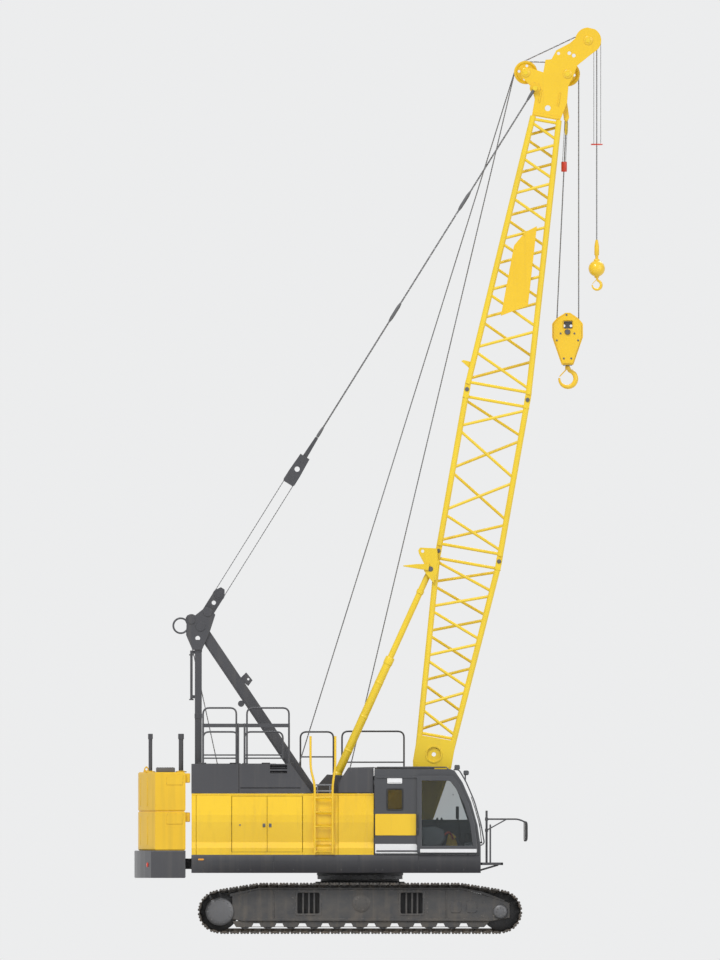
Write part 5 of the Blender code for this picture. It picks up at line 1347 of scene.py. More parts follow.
def house(prefix, sign, front_x):
    """An engine-room house: pressed panels with open seams, its inner walls and its two doors."""
    walls = Piece(prefix + "_house_panels", YELLOW)
    after_doors = DOOR_X + 2 * PANEL
    panels = [(REAR_X, REAR_X + 0.09), (REAR_X + 0.09, DOOR_X), (after_doors, after_doors + PANEL),
              (after_doors + PANEL, HOUSE_FRONT)]
    if front_x > HOUSE_FRONT:
        panels.append((HOUSE_FRONT, front_x))
    for start, end in panels:
        walls.along(pressed(sign, HOUSE_BASE, HOUSE_TOP), start + 0.003, end - 0.003, (), 0.004)
    if prefix == "right":
        start, end = panels[-1]
        for z in (HOUSE_BASE + 0.06, 2.20):
            for x in (start + 0.045, end - 0.045):
                walls.bolt((x, sign * (HALF_WIDTH - skin_inset(z)), z), (0, sign, 0), 0.007)
    for low, high in ((HOUSE_BASE, DOOR_LOW), (DOOR_HIGH, HOUSE_TOP)):
        walls.along(pressed(sign, low, high), DOOR_X - 0.003, after_doors + 0.003, (), 0.002)
    inner = sign * CHANNEL_HALF
    back = sign * (HALF_WIDTH - 0.062)
    end_plate = skin(sign, 0.004, HOUSE_BASE, HOUSE_TOP - 0.002)
    end_plate = end_plate + [(inner, HOUSE_TOP - 0.002), (inner, HOUSE_BASE)]
    for x in (REAR_X + 0.004, front_x - 0.034):
        walls.along(end_plate, x, x + 0.030)
    walls.box((REAR_X + 0.01, inner, HOUSE_BASE), (front_x - 0.01, inner + sign * 0.03, HOUSE_TOP - 0.003))
    walls.box((REAR_X + 0.01, inner, HOUSE_TOP - 0.034), (front_x - 0.01, back, HOUSE_TOP - 0.001))
    for x in (DOOR_X - 0.035, after_doors + 0.005):
        outside = skin(sign, 0.028, HOUSE_BASE, HOUSE_TOP - 0.03)
        inside = skin(sign, 0.06, HOUSE_BASE, HOUSE_TOP - 0.03)
        walls.along(outside + inside[::-1], x, x + 0.030)
    walls.done(replaces=[prefix + "_house"], angle=4.0)
    for number in (1, 2):
        start = DOOR_X + (number - 1) * PANEL + (PLAY if number == 1 else 0.003)
        end = DOOR_X + number * PANEL - (PLAY if number == 2 else 0.003)
        low, high = DOOR_LOW + PLAY, DOOR_HIGH - PLAY
        body = f"{prefix}_door_{number}"
        leaf = Piece(body + "_leaf", YELLOW, body)
        leaf.along(pressed(sign, low, high), start, end, (), 0.004)
        for z in (low + 0.04, 2.06, high - 0.06):
            back_face = sign * (HALF_WIDTH - skin_inset(z) - 0.028)
            leaf.box((start + 0.05, back_face, z - 0.02), (end - 0.05, back_face - sign * 0.02, z + 0.02),
                     0.004)
        leaf.done(replaces=[body], angle=4.0)
        latch = Piece(body + "_latch", CAST_GREY, body)
        free = end - 0.055 if number == 1 else start + 0.055
        z = 2.05
        face = sign * (HALF_WIDTH - skin_inset(z))
        latch.side(rounded_box(free - 0.026, z - 0.042, free + 0.026, z + 0.042, 0.012),
                   face + sign * 0.004, face - sign * 0.01)
        latch.side(rounded_box(free - 0.015, z - 0.032, free + 0.015, z + 0.010, 0.006), face + sign * 0.010,
                   face)
        if number == 1:
            latch.wheel(-2.256, z,
                        [(0.0, face - sign * 0.01), (0.016, face - sign * 0.01),
                         (0.016, face + sign * 0.004), (0.0, face + sign * 0.006)], 20)
        latch.done()


def covers(prefix, sign, front_x):
    """The dark covers on a house, the rear one with its louvre slots and the front one bolted down."""
    rear = Piece(prefix + "_rear_cover_sheet", CHARCOAL)
    foot = HOUSE_TOP + 0.001
    inner = sign * CHANNEL_HALF
    slope = (COVER_TOP - foot) / 0.40
    seam = -2.277

    def cover_end(z):
        return -0.90 - (z - foot) / slope

    sheet = sorted((sign * (COVER_Y - 0.035), sign * COVER_Y))
    slots = [rounded_box(-1.69, 3.10, -1.37, 3.175, 0.012), rounded_box(-1.69, 3.022, -1.37, 3.062, 0.012)]
    slots.append(rounded_box(seam + 0.03, 2.735, -1.12, 2.752, 0.006))
    rear.side(rect(REAR_X, foot, seam - 0.003, COVER_TOP - 0.004),
              *sheet, (), 0.006)
    rear.side([(seam + 0.003, foot), (cover_end(foot), foot), (cover_end(COVER_TOP), COVER_TOP - 0.004),
               (seam + 0.003, COVER_TOP - 0.004)], *sheet, slots, 0.006)
    rear.side([(REAR_X + 0.004, foot), (cover_end(foot) - 0.004, foot),
               (cover_end(COVER_TOP) - 0.004, COVER_TOP), (REAR_X + 0.004, COVER_TOP)], inner,
              sign * (COVER_Y - 0.09), (), 0.010)
    rear.side([(REAR_X + 0.004, foot), (cover_end(foot) - 0.03, foot),
               (cover_end(COVER_TOP) - 0.03, COVER_TOP - 0.002), (REAR_X + 0.004, COVER_TOP - 0.002)],
              sign * (COVER_Y - 0.10), sign * (COVER_Y - 0.030),
              [rounded_box(-1.70, 3.01, -1.36, 3.18, 0.01)], 0.004)
    for number in range(5):
        z = 3.03 + 0.032 * number
        blade = [(sign * (COVER_Y - 0.036), z), (sign * (COVER_Y - 0.036), z + 0.008),
                 (sign * (COVER_Y - 0.085), z + 0.034), (sign * (COVER_Y - 0.085), z + 0.026)]
        rear.along(blade, -1.70, -1.36, (), 0.001)
    for x in (-3.05, -2.45, -1.85, -1.40):
        for y in (0.95, 1.32):
            rear.box((x, sign * y - 0.012, COVER_TOP - 0.002),
                     (x + 0.16, sign * y + 0.012, COVER_TOP + 0.022), 0.006)
    rear.done(replaces=[prefix + "_rear_cover"])
    nose = Piece(prefix + "_front_cover_sheet", CHARCOAL)
    outline = [(-0.42, foot), (front_x, foot), (front_x, COVER_TOP - 0.06), (-0.22, COVER_TOP - 0.07),
               (-0.42, 2.83)]
    nose.side(outline, inner, sign * (COVER_Y - 0.03), (), 0.012)
    inset = [(-0.405, foot + 0.01), (front_x - 0.015, foot + 0.01), (front_x - 0.015, COVER_TOP - 0.08),
             (-0.21, COVER_TOP - 0.09), (-0.405, 2.825)]
    nose.side(inset, sign * (COVER_Y - 0.034), sign * COVER_Y, (), 0.006)
    nose.bolts(((-0.36, foot + 0.06), (0.20, foot + 0.06), (0.20, 3.06), (-0.17, 3.06)),
               sign * (COVER_Y - 0.001), sign, 0.010)
    # On the right side, a dark plate fills the gap between house and cab: painted shade, standing where only
    # shade falls between the parts.
    if sign < 0:
        nose.box((HOUSE_FRONT - 0.002, -1.52, HOUSE_BASE), (0.279, -0.80, 3.06), 0.003)
    nose.done(replaces=[prefix + "_front_cover"])


def roof_fittings():
    """Steps between the covers and grip treads."""
    steps = Piece("roof_steps", CONSOLE)
    for number, z in enumerate((2.675, 2.79)):
        reach = 1.50 - 0.16 * number
        steps.box((-0.835, -reach, z), (-0.53, 0.18 - reach, z + 0.026), 0.004)
        for x in (-0.80, -0.565):
            steps.box((x - 0.012, -reach + 0.01, HOUSE_TOP), (x + 0.012, 0.17 - reach, z + 0.002), 0.003)
        for count in range(9):
            steps.box((-0.82 + 0.034 * count, -reach + 0.015, z + 0.024),
                      (-0.806 + 0.034 * count, 0.165 - reach, z + 0.030), 0.002)
    steps.done()
    treads = Piece("grip_treads", RUBBER)
    for sign in (-1, 1):
        for x in (-3.0, -2.2):
            for row in range(6):
                y = sign * (0.90 + 0.1 * row)
                treads.box((x, y - 0.022, COVER_TOP - 0.001), (x + 0.62, y + 0.022, COVER_TOP + 0.0045),
                           0.002)
    treads.done()


# Deck

def deck():
    """Fascia with its seams, bolts and lamps, the bolts of the slewing ring, and what stands on the deck."""
    fascia = Piece("deck_fascia", CHARCOAL)
    for sign in (-1, 1):
        face = sign * HALF_WIDTH
        outline = [(face, 1.150), (face + sign * 0.004, 1.155), (face + sign * 0.004, 1.345),
                   (face + sign * 0.012, 1.365), (face + sign * 0.012, 1.455), (face + sign * 0.002, 1.486),
                   (face - sign * 0.006, 1.486), (face - sign * 0.006, 1.150)]
        if sign < 0:
            seams = (REAR_X + 0.002, -1.62, -0.02, 1.10, FRONT_X - 0.002)
        else:
            seams = (REAR_X + 0.002, -1.2, 0.6, FRONT_X)
        for start, end in zip(seams, seams[1:]):
            fascia.along(outline, start + 0.003, end - 0.003, (), 0.002)
        for x in (-2.95, -2.28, -2.05, -1.25, -0.35, 0.30, 0.42, 1.22, 1.45, 1.95):
            fascia.bolt((x, face + sign * 0.004, 1.205), (0, sign, 0), 0.011)
    fascia.done()
    lamps = Piece("deck_side_lamps", AMBER)
    for sign in (-1, 1):
        lamps.side(rounded_box(-3.045, 1.385, -2.935, 1.418, 0.016),
                   sign * (HALF_WIDTH + 0.010), sign * (HALF_WIDTH + 0.022), (), 0.004)
    lamps.done()
    ring_bolts = Piece("slew_ring_bolts", CAST_GREY, "crawler_base")
    for x, y in ring(0.0, 0.0, 0.755, 40):
        ring_bolts.bolt((x, y, 1.10), (0, 0, 1), 0.016)
    ring_bolts.done()
    swing_bolts = Piece("turntable_bolts", CAST_GREY)
    for x, y in ring(0.0, 0.0, 0.70, 32):
        swing_bolts.bolt((x, y, 1.302), (0, 0, 1), 0.015)
    swing_bolts.done()
    rim = Piece("turntable_rim", UNDER_GREY)
    rim.lathe([(0.800, 1.103), (0.812, 1.106), (0.812, 1.142), (0.800, 1.146), (0.78, 1.146), (0.78, 1.103)],
              Matrix(), 96)
    rim.done()
    tower = Piece("tower_fittings", CHARCOAL)
    for sign in (-1, 1):
        for x, z, _, _ in DRUMS.values():
            tower.side(ring(x, z, 0.13, 32), sign * 0.762, sign * 0.776, (), 0.004)
            tower.bolts(ring(x, z, 0.105, 8), sign * 0.775, sign, 0.006)
    for x in (0.96, 1.06, 1.16, 1.26):
        tower.box((x, -0.42, DECK_HIGH - 0.002), (x + 0.04, 0.42, DECK_HIGH + 0.02), 0.006)
    tower.box((0.45, -0.35, DECK_HIGH - 0.002), (0.80, 0.35, DECK_HIGH + 0.26), 0.02)
    tower.done()
    hoses = Piece("deck_hoses", RUBBER)
    for number in range(5):
        y = -0.28 + 0.14 * number
        path = rounded([(0.50, y, DECK_HIGH + 0.20), (0.25, y, DECK_HIGH + 0.34),
                        (0.05, y * 1.5, DECK_HIGH + 0.10), (-0.45, y * 2.0, DECK_HIGH + 0.06)], 0.14, 6)
        hoses.tube(path, 0.017, 14)
    hoses.done()


# Counterweight

def counterweight():
    """Two cast tiers with rounded edges, side pads, keys, lugs, posts and steps on the top."""
    lows = (1.5685, 2.3075)
    highs = (2.3065, 3.042)
    reach = math.degrees(math.asin(HALF_WIDTH / REAR_RADIUS))
    posts = Piece("counterweight_posts", CHARCOAL)
    outline = [(-3.28, -HALF_WIDTH), *ring(0, 0, REAR_RADIUS, 28, 180.0 + reach, -2 * reach),
               (-3.28, HALF_WIDTH)]
    for name, low, high in zip(("lower", "upper"), lows, highs):
        tier = Piece("counterweight_" + name + "_casting", SHADED_COUNTERWEIGHT_YELLOW)
        tier.plan(outline, low, high, (), 0.024)
        for sign in (-1, 1):
            tier.box((-3.33, sign * 1.42, high - 0.20), (-3.195, sign * 1.54, high - 0.02), 0.012)
            pad = [(-3.638, high - 0.24), (-3.335, high - 0.24), (-3.322, high - 0.05), (-3.60, high - 0.03),
                   (-3.638, high - 0.10)]
            tier.side(pad, sign * (HALF_WIDTH - 0.004), sign * (HALF_WIDTH + 0.010), (), 0.005)
        for degrees in (-16.0, -8.0, 8.0, 16.0):
            turn = turned(180.0 + degrees, "Z")
            tier.box((4.155, -0.05, low + 0.10), (4.178, 0.05, high - 0.10), 0.008, turn)
        if name == "upper":
            for sign in (-1, 1):
                for x, radius in ((-3.94, 0.045), (-3.365, 0.055)):
                    posts.bar((x, sign * STUD_Y, high - 0.01), (x, sign * STUD_Y, 3.76), radius * 0.8, 28,
                              0.008)
                    posts.bar((x, sign * STUD_Y, 3.66), (x, sign * STUD_Y, 3.765), radius, 28, 0.006)
                    tier.lathe([(0.0, 0.0), (radius + 0.05, 0.0), (radius + 0.05, 0.015), (radius, 0.03),
                                (0.0, 0.03)], at(x, sign * STUD_Y, high - 0.002), 28)
                lug = [(-4.08, high - 0.02), (-3.95, high - 0.02), (-3.975, high + 0.08),
                       *ring(-4.015, high + 0.08, 0.03, 6, 0.0, 180.0), (-4.055, high + 0.08)]
                tier.side(lug, sign * 0.72 - 0.03, sign * 0.72 + 0.03,
                          [ring(-4.015, high + 0.055, 0.022, 12)], 0.004)
        tier.done(replaces=["counterweight_" + name])
    posts.done()
    top = Piece("counterweight_steps", CAST_GREY)
    for sign in (-1, 1):
        y_low, y_high = sorted((sign * 0.75, sign * 1.25))
        top.box((-3.835, y_low, 3.04), (-3.478, y_high, 3.13), 0.012)
        for row in range(7):
            x = -3.81 + 0.046 * row
            top.box((x, y_low + 0.03, 3.128), (x + 0.02, y_high - 0.03, 3.137), 0.002)
    top.done()
    bolts = Piece("counterweight_bolts", CAST_GREY)
    for sign in (-1, 1):
        for x in (-3.55, -3.75, -3.95):
            bolts.bar((x, sign * 0.45, 3.04), (x, sign * 0.45, 3.075), 0.05, 6)
            bolts.bar((x, sign * 0.45, 3.07), (x, sign * 0.45, 3.10), 0.026, 20, 0.003)
    bolts.done()
    lamps = Piece("rear_reflectors", RED)
    for degrees in (-19.5, 19.5):
        turn = turned(180.0 + degrees, "Z") @ at(4.236, 0, 1.30)
        lamps.lathe([(0.0, -0.01), (0.045, -0.01), (0.045, 0.010), (0.038, 0.016), (0.0, 0.018)],
                    turn @ turned(90, "Y"), 28)
    lamps.done()


# Gantry

def gantry():
    """Rear posts, front struts, the head's cheek plates with shafts and rope guard, and the hanging rods."""
    direction = (Vector(STRUT_TOP) - Vector(STRUT_FOOT)).normalized()
    side_way = Vector((-direction.y, direction.x)) * 0.11
    foot = Vector(STRUT_FOOT) - direction * 0.12
    top = Vector(STRUT_TOP) + direction * 0.30
    box = [tuple(foot - side_way), tuple(foot + side_way), tuple(top + side_way), tuple(top - side_way)]
    rim = [tuple(foot - side_way * 0.72), tuple(foot + side_way * 0.72), tuple(top + side_way * 0.72),
           tuple(top - side_way * 0.72)]
    struts = Piece("gantry_strut_boxes", CHARCOAL)
    posts = Piece("gantry_post_boxes", CHARCOAL)
    for sign in (-1, 1):
        near, far = sorted((sign * 0.555, sign * 0.690))
        struts.side(box, near + 0.008, far - 0.008, [ring(*STRUT_FOOT, 0.0475, 20)], 0.010)
        struts.side(rim, near, far, [ring(*STRUT_FOOT, 0.0475, 20)], 0.006)
        struts.side([(-2.26, 4.80), (-2.10, 4.66), (-2.02, 4.77), (-2.14, 4.92)], near + 0.03, far - 0.03,
                    [ring(-2.10, 4.79, 0.022, 12)], 0.004)
        struts.wheel(-2.235, 4.33,
                     [(0.0, near + 0.02), (0.055, near + 0.02), (0.06, near + 0.03), (0.06, far - 0.03),
                      (0.055, far - 0.02), (0.0, far - 0.02)], 24)
        posts.side(rect(POST_X - 0.065, 1.83, POST_X + 0.065, 5.53),
                   near, far, [ring(POST_X, 1.95, 0.052, 20)], 0.010)
        for z in (2.9, 4.1, 5.35):
            posts.side(rounded_box(POST_X - 0.071, z - 0.05, POST_X + 0.071, z + 0.05, 0.01), near - 0.006,
                       far + 0.006)
        for z in (4.46, 5.30):
            posts.side(rounded_box(-3.19, z - 0.03, -3.05, z + 0.03, 0.01), sign * LEG_Y - 0.03,
                       sign * LEG_Y + 0.03)
        posts.bar((ROD_X, sign * LEG_Y, 4.40), (ROD_X, sign * LEG_Y, 5.33), 0.024, 20, 0.004)
        for z in (4.425, 5.265):
            posts.lathe(rect(0.0, 0.0, 0.042, 0.025),
                        at(ROD_X, sign * LEG_Y, z - 0.03), 6)
    for share in (0.45, 0.85):
        x, z = Vector(STRUT_FOOT).lerp(Vector(STRUT_TOP), share)
        struts.bar((x, -LEG_Y, z), (x, LEG_Y, z), 0.06, 28)
    posts.bar((POST_X, -LEG_Y, 4.1), (POST_X, LEG_Y, 4.1), 0.045, 24)
    for start, end in ((2.3, 4.0), (4.2, 5.3)):
        for sign in (-1, 1):
            posts.bar((POST_X, -0.58 * sign, start), (POST_X, 0.58 * sign, end), 0.024, 16)
    struts.done(replaces=["gantry_struts"])
    posts.done(replaces=["gantry_posts"])
    head = Piece("gantry_head_plates", CHARCOAL)
    cheek = [(-3.255, 5.99), (-3.10, 5.99), (-2.90, 6.15), (-2.80, 6.12), (-2.72, 6.0), (-2.82, 5.69),
             (-2.97, 5.34), (-3.15, 5.34), (-3.27, 5.62)]
    for sign in (-1, 1):
        near, far = sorted((sign * 0.69, sign * 0.73))
        head.side(cheek, near, far, [ring(-3.05, 5.56, 0.045, 20)], 0.006)
        for x, z, radius in ((*PEAK, 0.085), (*LEAD_SHAFT, 0.075), (*REEVE_SHAFT, 0.09)):
            head.wheel(x, z, [(0.0, sign * 0.725), (radius, sign * 0.725), (radius, sign * 0.738),
                              (radius - 0.006, sign * 0.744), (0.0, sign * 0.744)], 28)
        guard = [(x, sign * 0.71, z) for x, z in ring(-3.37, 5.796, 0.14, 40)]
        head.tube(guard, 0.018, 14, closed=True)
        head.lathe(rect(0.052, -0.045, 0.08, -0.016),
                   at(PEAK[0], sign * 0.42, PEAK[1]) @ turned(90, "X"), 28)
    for x, z, radius in ((*PEAK, 0.05), (*LEAD_SHAFT, 0.05), (*REEVE_SHAFT, 0.06)):
        head.bar((x, -0.72, z), (x, 0.72, z), radius, 28)
    head.done(replaces=["gantry_head"])
    wheels = Piece("gantry_sheaves", CAST_GREY)
    for y in (-0.22, -0.11, 0.0, 0.11, 0.22):
        sheave(wheels, *REEVE_SHAFT, y, 0.135, 0.105, 0, 0.085)
    sheave(wheels, *LEAD_SHAFT, LEAD_Y, 0.115, 0.09, 0, 0.075)
    wheels.done()
    x, z, barrel, _ = DRUMS["boom_hoist_drum"]
    line = Piece("boom_hoist_rope", WIRE)
    line.rope([(x - barrel - 0.030, LEAD_Y, z + 0.02), (LEAD_SHAFT[0] - 0.098, LEAD_Y, LEAD_SHAFT[1])],
              0.011, 0.05)
    line.done()


for house_prefix, house_sign, house_front in (("right", -1, HOUSE_FRONT), ("left", 1, HOUSE_FRONT + PANEL)):
    house(house_prefix, house_sign, house_front)
    covers(house_prefix, house_sign, house_front)
roof_fittings()
deck()
counterweight()
gantry()
for node_name, node_finish, node_bevel in (
    ("revolving_frame", CHARCOAL, 0.008),
    ("counterweight_base", CHARCOAL, 0.018),
    ("carbody", UNDER_GREY, 0.012),
    ("slew_ring", CAST_GREY, 0.004),
    ("engine", CAST_GREY, 0.015),
):
    keep([node_name], node_finish, node_bevel)


# Rails, ladder, mirror and cab

def hoop(piece, start, end, y, base, top, radius=0.017):
    """A hand rail bent down at both ends."""
    path = rounded([(start, y, base), (start, y, top), (end, y, top), (end, y, base)], 0.12, 6)
    piece.tube(path, radius, 14)


def rails():
    """Rails on the house covers, with the far side's front rails."""
    rear, front = -2.95, -1.335
    for prefix, sign in (("right", -1), ("left", 1)):
        rail = Piece(prefix + "_rails", CHARCOAL, slot="rail_paint")
        y = sign * RAIL_Y
        hoop(rail, rear, -2.325, y, COVER_TOP, RAIL_TOP)
        hoop(rail, -2.125, front, y, COVER_TOP, RAIL_TOP)
        for start, end in ((rear, -2.29), (-2.17, -1.45)):
            hoop(rail, start, end, y, COVER_TOP + 0.10, 3.80)
            for z in (3.305, 3.365):
                rail.tube([(start, y, z), (end, y, z)], 0.014, 12)
        for x in (-2.29, -2.17, rear, front):
            rail.bar((x, y, COVER_TOP), (x, y, 3.96), 0.019, 14)
            rail.box((x - 0.045, y - 0.045, COVER_TOP - 0.002), (x + 0.045, y + 0.045, COVER_TOP + 0.012),
                     0.003)
        rail.box((rear, y - 0.006, 3.885), (front, y + 0.006, 3.955), 0.003)
        if sign > 0:
            hoop(rail, -1.12, -0.50, y, HOUSE_TOP + 0.02, 3.80)
            rail.tube([(-1.12, y, 3.33), (-0.50, y, 3.33)], 0.014, 12)
            hoop(rail, -0.338, 0.827, y, COVER_TOP - 0.07, 3.81)
            rail.tube([(-0.338, y, 3.23), (0.827, y, 3.23)], 0.014, 12)
        rail.done(replaces=[prefix + "_handrail"])


def ladder():
    """Ladder up the right house, with its grab rails and foot brackets."""
    steps = Piece("ladder_rails", YELLOW)
    y = -1.655
    for x, lean in ((-0.85, -0.93), (-0.515, -0.465)):
        path = rounded([(x, y, 1.52), (x, y, 2.82), (lean, y, 3.10), (lean, y, 3.72)], 0.15, 6)
        steps.tube(path, 0.022, 16)
        for z in (1.58, 2.56):
            steps.box((x - 0.012, y, z - 0.02), (x + 0.012, -1.50 if z > 2 else -1.595, z + 0.02), 0.003)
    for z in (1.55, 1.76, 2.02, 2.29, 2.56):
        steps.bar((-0.855, y, z), (-0.51, y, z), 0.016, 14)
        for count in range(6):
            x = -0.80 + 0.047 * count
            steps.box((x, y - 0.018, z + 0.008), (x + 0.022, y + 0.018, z + 0.019), 0.002)
    steps.done(replaces=["ladder"])


def front_platform():
    """The step in front of the cab, its guard rail, the mirror arm and the mirror."""
    platform = Piece("front_platform", CHARCOAL)
    low, high = 1.295, 1.345
    guard_x, right, left, guard_top = 2.45, -1.55, -0.85, 2.05
    platform.box((FRONT_X - 0.01, -1.60, low), (FRONT_X + 0.03, -0.80, high), 0.005)
    platform.box((2.65, -1.60, low), (2.69, -0.80, high), 0.005)
    for y in (-1.60, -0.83):
        platform.box((FRONT_X, y, low), (2.69, y + 0.03, high), 0.005)
    for number in range(15):
        y = -1.555 + 0.05 * number
        platform.box((FRONT_X + 0.01, y, 1.318), (2.66, y + 0.016, 1.341), 0.003)
    for y in (-1.45, -0.95):
        platform.tube([(FRONT_X - 0.01, y, 1.20), (2.60, y, 1.30)], 0.018, 12)
    platform.bar((*MIRROR_POST, 1.32), (*MIRROR_POST, 2.32), 0.021, 18, 0.004)
    platform.tube(rounded([(*MIRROR_POST, 2.16), (2.98, -1.45, 2.16), (3.115, -1.45, 2.10)], 0.10), 0.016,
                  14)
    platform.tube([(*MIRROR_POST, 1.95), (2.75, -1.45, 2.155)], 0.012, 12)
    for z in (1.95, 2.16):
        platform.bar((*MIRROR_POST, z - 0.03), (*MIRROR_POST, z + 0.03), 0.030, 18, 0.004)
    guard = rounded([(guard_x, right, 1.33), (guard_x, right, guard_top), (guard_x, left, guard_top),
                     (guard_x, left, 1.33)], 0.10)
    platform.tube(guard, 0.016, 14)
    platform.tube([(guard_x, right, 1.72), (guard_x, left, 1.72)], 0.013, 12)
    platform.done(replaces=["mirror_stay"])
    mirror = Piece("mirror_head", RUBBER)
    turn = at(3.115, -1.45, 1.93) @ turned(8.0, "Z")
    shell = []
    for x, inset in ((0.030, 0.05), (0.022, 0.02), (0.0, 0.0), (-0.018, 0.0), (-0.024, 0.008),
                     (-0.016, 0.014)):
        outline = rounded_box(-0.12 + inset, -0.19 + inset, 0.12 - inset, 0.19 - inset, 0.05)
        shell.append([turn @ Vector((x, y, z)) for y, z in outline])
    mirror.loft(shell)
    mirror.done()
    pane = Piece("mirror_pane", WIRE, slot="glass")
    face = []
    for x, inset in ((-0.012, 0.018), (-0.0185, 0.018), (-0.0195, 0.022)):
        outline = rounded_box(-0.12 + inset, -0.19 + inset, 0.12 - inset, 0.19 - inset, 0.04)
        face.append([turn @ Vector((x, y, z)) for y, z in outline])
    pane.loft(face)
    pane.done()


def cab_outside():
    """Painted panels, seals, lamps, hatch, handles, hinges, guard bars and wiper of the cab."""
    band = Piece("cab_colour_band", YELLOW)
    band.side(rounded_box(0.284, 1.852, 1.055, 2.257, 0.02), CAB_FACE - 0.012, CAB_FACE + 0.002, (), 0.005)
    band.done()
    strip = Piece("cab_white_strip", WHITE)
    strip.side([(0.284, 1.514), (1.092, 1.514), (1.092, 1.64), (1.05, 1.692), (0.284, 1.692)],
               CAB_FACE - 0.012, CAB_FACE + 0.002, (), 0.004)
    # A white block at the top of the gap between house and cab stands in for the pale backdrop seen through
    # it: painted light.
    strip.box((0.255, CAB_FACE + 0.06, 2.97), (0.276, CAB_FACE + 0.11, 3.12), 0.004)
    strip.side(rounded_box(0.512, 2.828, 0.792, 2.932, 0.018), CAB_FACE - 0.012, CAB_FACE + 0.002,
               [rounded_box(0.532, 2.846, 0.772, 2.850, 0.001)], 0.003)
    strip.done()
    sill = Piece("cab_door_white_strip", WHITE, "cab_door")
    sill.side(rounded_box(1.130, 1.530, 2.195, 1.598, 0.012), DOOR_FACE - 0.008, DOOR_FACE + 0.002, (),
              0.003)
    sill.done()
    grip = Piece("cab_door_handle", RUBBER, "cab_door")
    grip.tube(rounded([(1.085, DOOR_FACE, 2.00), (1.085, DOOR_FACE - 0.045, 2.00),
                       (1.085, DOOR_FACE - 0.045, 2.24), (1.085, DOOR_FACE, 2.24)], 0.03), 0.011, 12)
    grip.side(rounded_box(1.065, 1.86, 1.105, 1.95, 0.008), DOOR_FACE - 0.012, DOOR_FACE + 0.002, (), 0.003)
    grip.done()
    seal = Piece("cab_window_seals", RUBBER)
    outer = rounded_box(0.495, 2.32, 0.815, 2.74, 0.04)
    inner = rounded_box(0.522, 2.347, 0.788, 2.713, 0.03)
    seal.side(outer, CAB_FACE - 0.010, CAB_FACE + 0.004, [inner], 0.003)
    seal.done()
    pane = Piece("cab_gold_pane", AMBER_GLASS)
    pane.side(rounded_box(0.518, 2.343, 0.792, 2.717, 0.03), CAB_FACE + 0.004, CAB_FACE + 0.010, (), 0.001)
    pane.done()
    roof = Piece("cab_roof_fittings", CAB_GREY)
    roof.box((0.75, -1.46, 3.095), (1.40, -0.96, 3.135), 0.014)
    roof.box((0.80, -1.41, 3.13), (1.35, -1.01, 3.150), 0.008)
    for y in (-1.57, -0.82):
        roof.tube([(0.32, y, 3.10), (0.32, y, 3.135), (1.62, y, 3.135), (1.66, y, 3.10)], 0.012, 12)
    for x, y, z in CAB_LAMPS:
        roof.box((x - 0.055, y - 0.07, z - 0.045), (x + 0.045, y + 0.07, z + 0.045), 0.016)
        roof.bar((x - 0.02, y, z - 0.16 if z < 3.1 else z - 0.05), (x - 0.02, y, z), 0.014, 12)
    for z in (1.75, 2.30, 2.85):
        roof.bar((0.268, -1.60, z - 0.045), (0.268, -1.60, z + 0.045), 0.014, 14, 0.003)
    guard = [(2.34, 1.70), (2.275, 2.06), (2.15, 2.50), (1.99, 2.87), (1.86, 3.09)]
    for y in GUARD_Y:
        roof.tube(rounded([(FRONT_X - 0.02, y, 1.66), *[(x, y, z) for x, z in guard], (1.76, y, 3.09)], 0.08,
                          4), 0.013, 12)
    for x, z in guard[1:4]:
        roof.tube([(x, y, z) for y in GUARD_Y], 0.010, 10)
    roof.done()
    lamps = Piece("cab_lamp_lenses", LENS)
    for x, y, z in CAB_LAMPS:
        place = at(x + 0.042, y, z) @ turned(90, "Y")
        lamps.lathe([(0.0, -0.006), (0.035, -0.006), (0.037, 0.004), (0.030, 0.010), (0.0, 0.013)], place,
                    28)
    lamps.done()
    wiper = Piece("windscreen_wiper", RUBBER)
    wiper.tube([(2.285, -1.20, 1.72), (2.25, -1.20, 2.05), (2.185, -1.22, 2.28)], 0.008, 10)
    wiper.tube([(2.262, -1.23, 1.95), (2.225, -1.23, 2.14), (2.16, -1.23, 2.37), (2.09, -1.23, 2.58)], 0.007,
               10)
    wiper.bar((2.23, -1.20, 1.72), (2.30, -1.20, 1.72), 0.016, 16, 0.003)
    wiper.done()


def pillow(piece, low, high, radius, place):
    """A crowned cushion: a rounded plan whose edges roll over into a domed top and bottom."""
    rows = []
    for inset, share in ((0.16, 0.0), (0.09, 0.03), (0.03, 0.12), (0.0, 0.30), (0.0, 0.55), (0.02, 0.74),
                         (0.055, 0.88), (0.10, 0.96), (0.16, 1.0)):
        inset = inset * min(high[0] - low[0], high[1] - low[1]) * 2.0
        outline = rounded_box(low[0] + inset, low[1] + inset, high[0] - inset, high[1] - inset,
                              max(radius - inset * 0.5, 0.012), 6)
        rows.append([place @ Vector((x, y, low[2] + (high[2] - low[2]) * share)) for x, y in outline])
    piece.loft(rows)


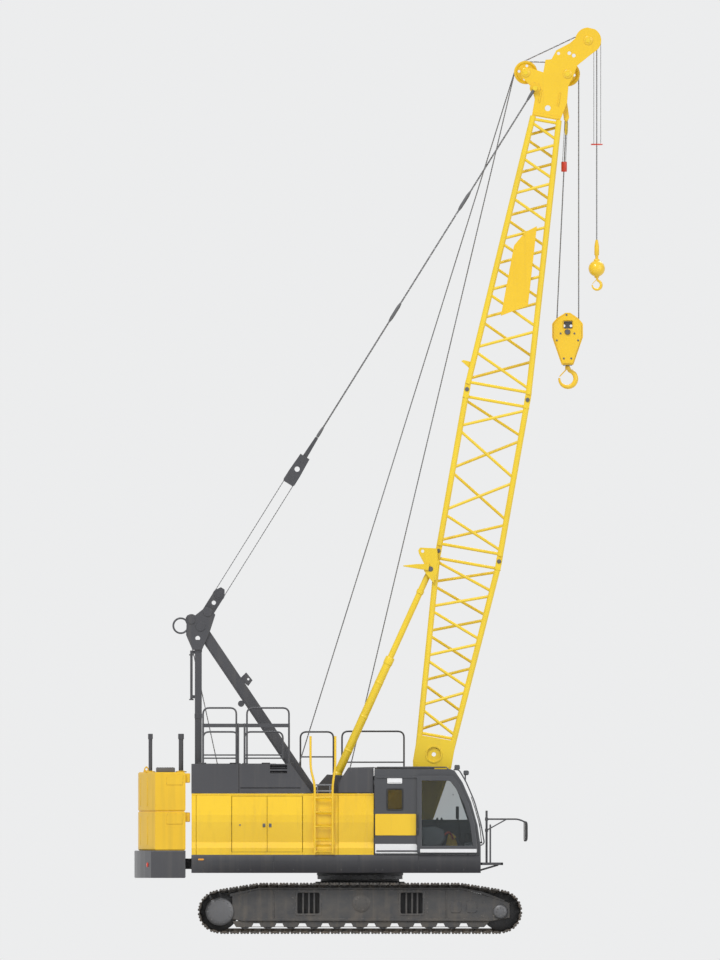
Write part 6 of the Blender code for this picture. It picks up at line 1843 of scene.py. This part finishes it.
def cab_inside():
    """Seat with its cushions, consoles, levers, hoses, dash and monitor."""
    y0, y1 = -1.42, -0.96
    cushion = Piece("seat_cushion", CLOTH)
    pillow(cushion, (0.96, y0, 1.81), (1.47, y1, 1.96), 0.07, Matrix())
    cushion.done(replaces=["operator_seat"])
    back = Piece("seat_back", CLOTH)
    lie = at(1.00, (y0 + y1) / 2, 1.92) @ turned(-98, "Y")
    pillow(back, (0.0, -0.23, 0.0), (0.50, 0.23, 0.13), 0.07, lie)
    back.done()
    rest = Piece("seat_headrest", CLOTH)
    lie = at(0.93, (y0 + y1) / 2, 2.45) @ turned(-98, "Y")
    pillow(rest, (0.0, -0.13, 0.0), (0.17, 0.13, 0.09), 0.05, lie)
    rest.done()
    body = Piece("seat_base_and_consoles", CONSOLE)
    body.box((1.00, -1.36, 1.62), (1.40, -1.02, 1.80), 0.03)
    for y in (-1.53, -0.93):
        outline = [(1.02, 1.72), (1.26, 1.63), (1.52, 1.66), (1.60, 1.80), (1.57, 1.96), (1.40, 2.02),
                   (1.04, 2.00)]
        body.side(outline, y, y + 0.085, (), 0.025)
    body.box((1.96, -1.50, 1.62), (2.12, -0.90, 1.72), 0.02)
    body.done()
    dash = Piece("cab_controls", RUBBER)
    dash.box((1.98, -1.30, 1.70), (2.10, -1.06, 1.92), 0.02)
    dash.box((1.80, -0.92, 2.16), (1.86, -0.83, 2.40), 0.012)
    dash.tube([(1.90, -0.86, 1.68), (1.84, -0.86, 2.18)], 0.014, 12)
    dash.tube([(1.75, -1.50, 2.62), (1.75, -0.90, 2.62)], 0.010, 10)
    dash.box((1.60, -1.46, 2.88), (1.84, -1.02, 2.90), 0.008)
    for y in (-1.49, -0.89):
        for x in (1.42, 1.50):
            dash.tube(rounded([(x, y, 1.97), (x + 0.01, y, 2.08), (x + 0.03, y, 2.14)], 0.03), 0.008, 10)
            dash.lathe([(0.0, -0.03), (0.018, -0.026), (0.022, 0.0), (0.016, 0.028), (0.0, 0.034)],
                       at(x + 0.033, y, 2.155), 18)
    for y in (-1.30, -1.06):
        dash.tube([(1.98, y, 1.66), (1.84, y, 1.80)], 0.010, 10)
        dash.box((1.78, y - 0.04, 1.78), (1.86, y + 0.04, 1.80), 0.006)
    dash.done()
    hose = Piece("cab_red_hose", RED)
    hose.tube(rounded([(1.56, -1.43, 1.84), (1.66, -1.42, 1.93), (1.73, -1.35, 1.86), (1.76, -1.24, 1.72)],
                      0.06), 0.018, 14)
    hose.done()
    block = Piece("cab_yellow_valve_box", YELLOW)
    block.side([(1.60, 1.63), (1.84, 1.63), (1.80, 1.84), (1.74, 1.89), (1.66, 1.87)], -1.30, -1.12, (),
               0.012)
    block.done()


rails()
ladder()
front_platform()
cab_outside()
cab_inside()
keep(["cab", "cab_door"], CAB_GREY, 0.012)
keep(["cab_front_glass", "cab_side_glass", "cab_door_glass"], GLASS, 0.002)
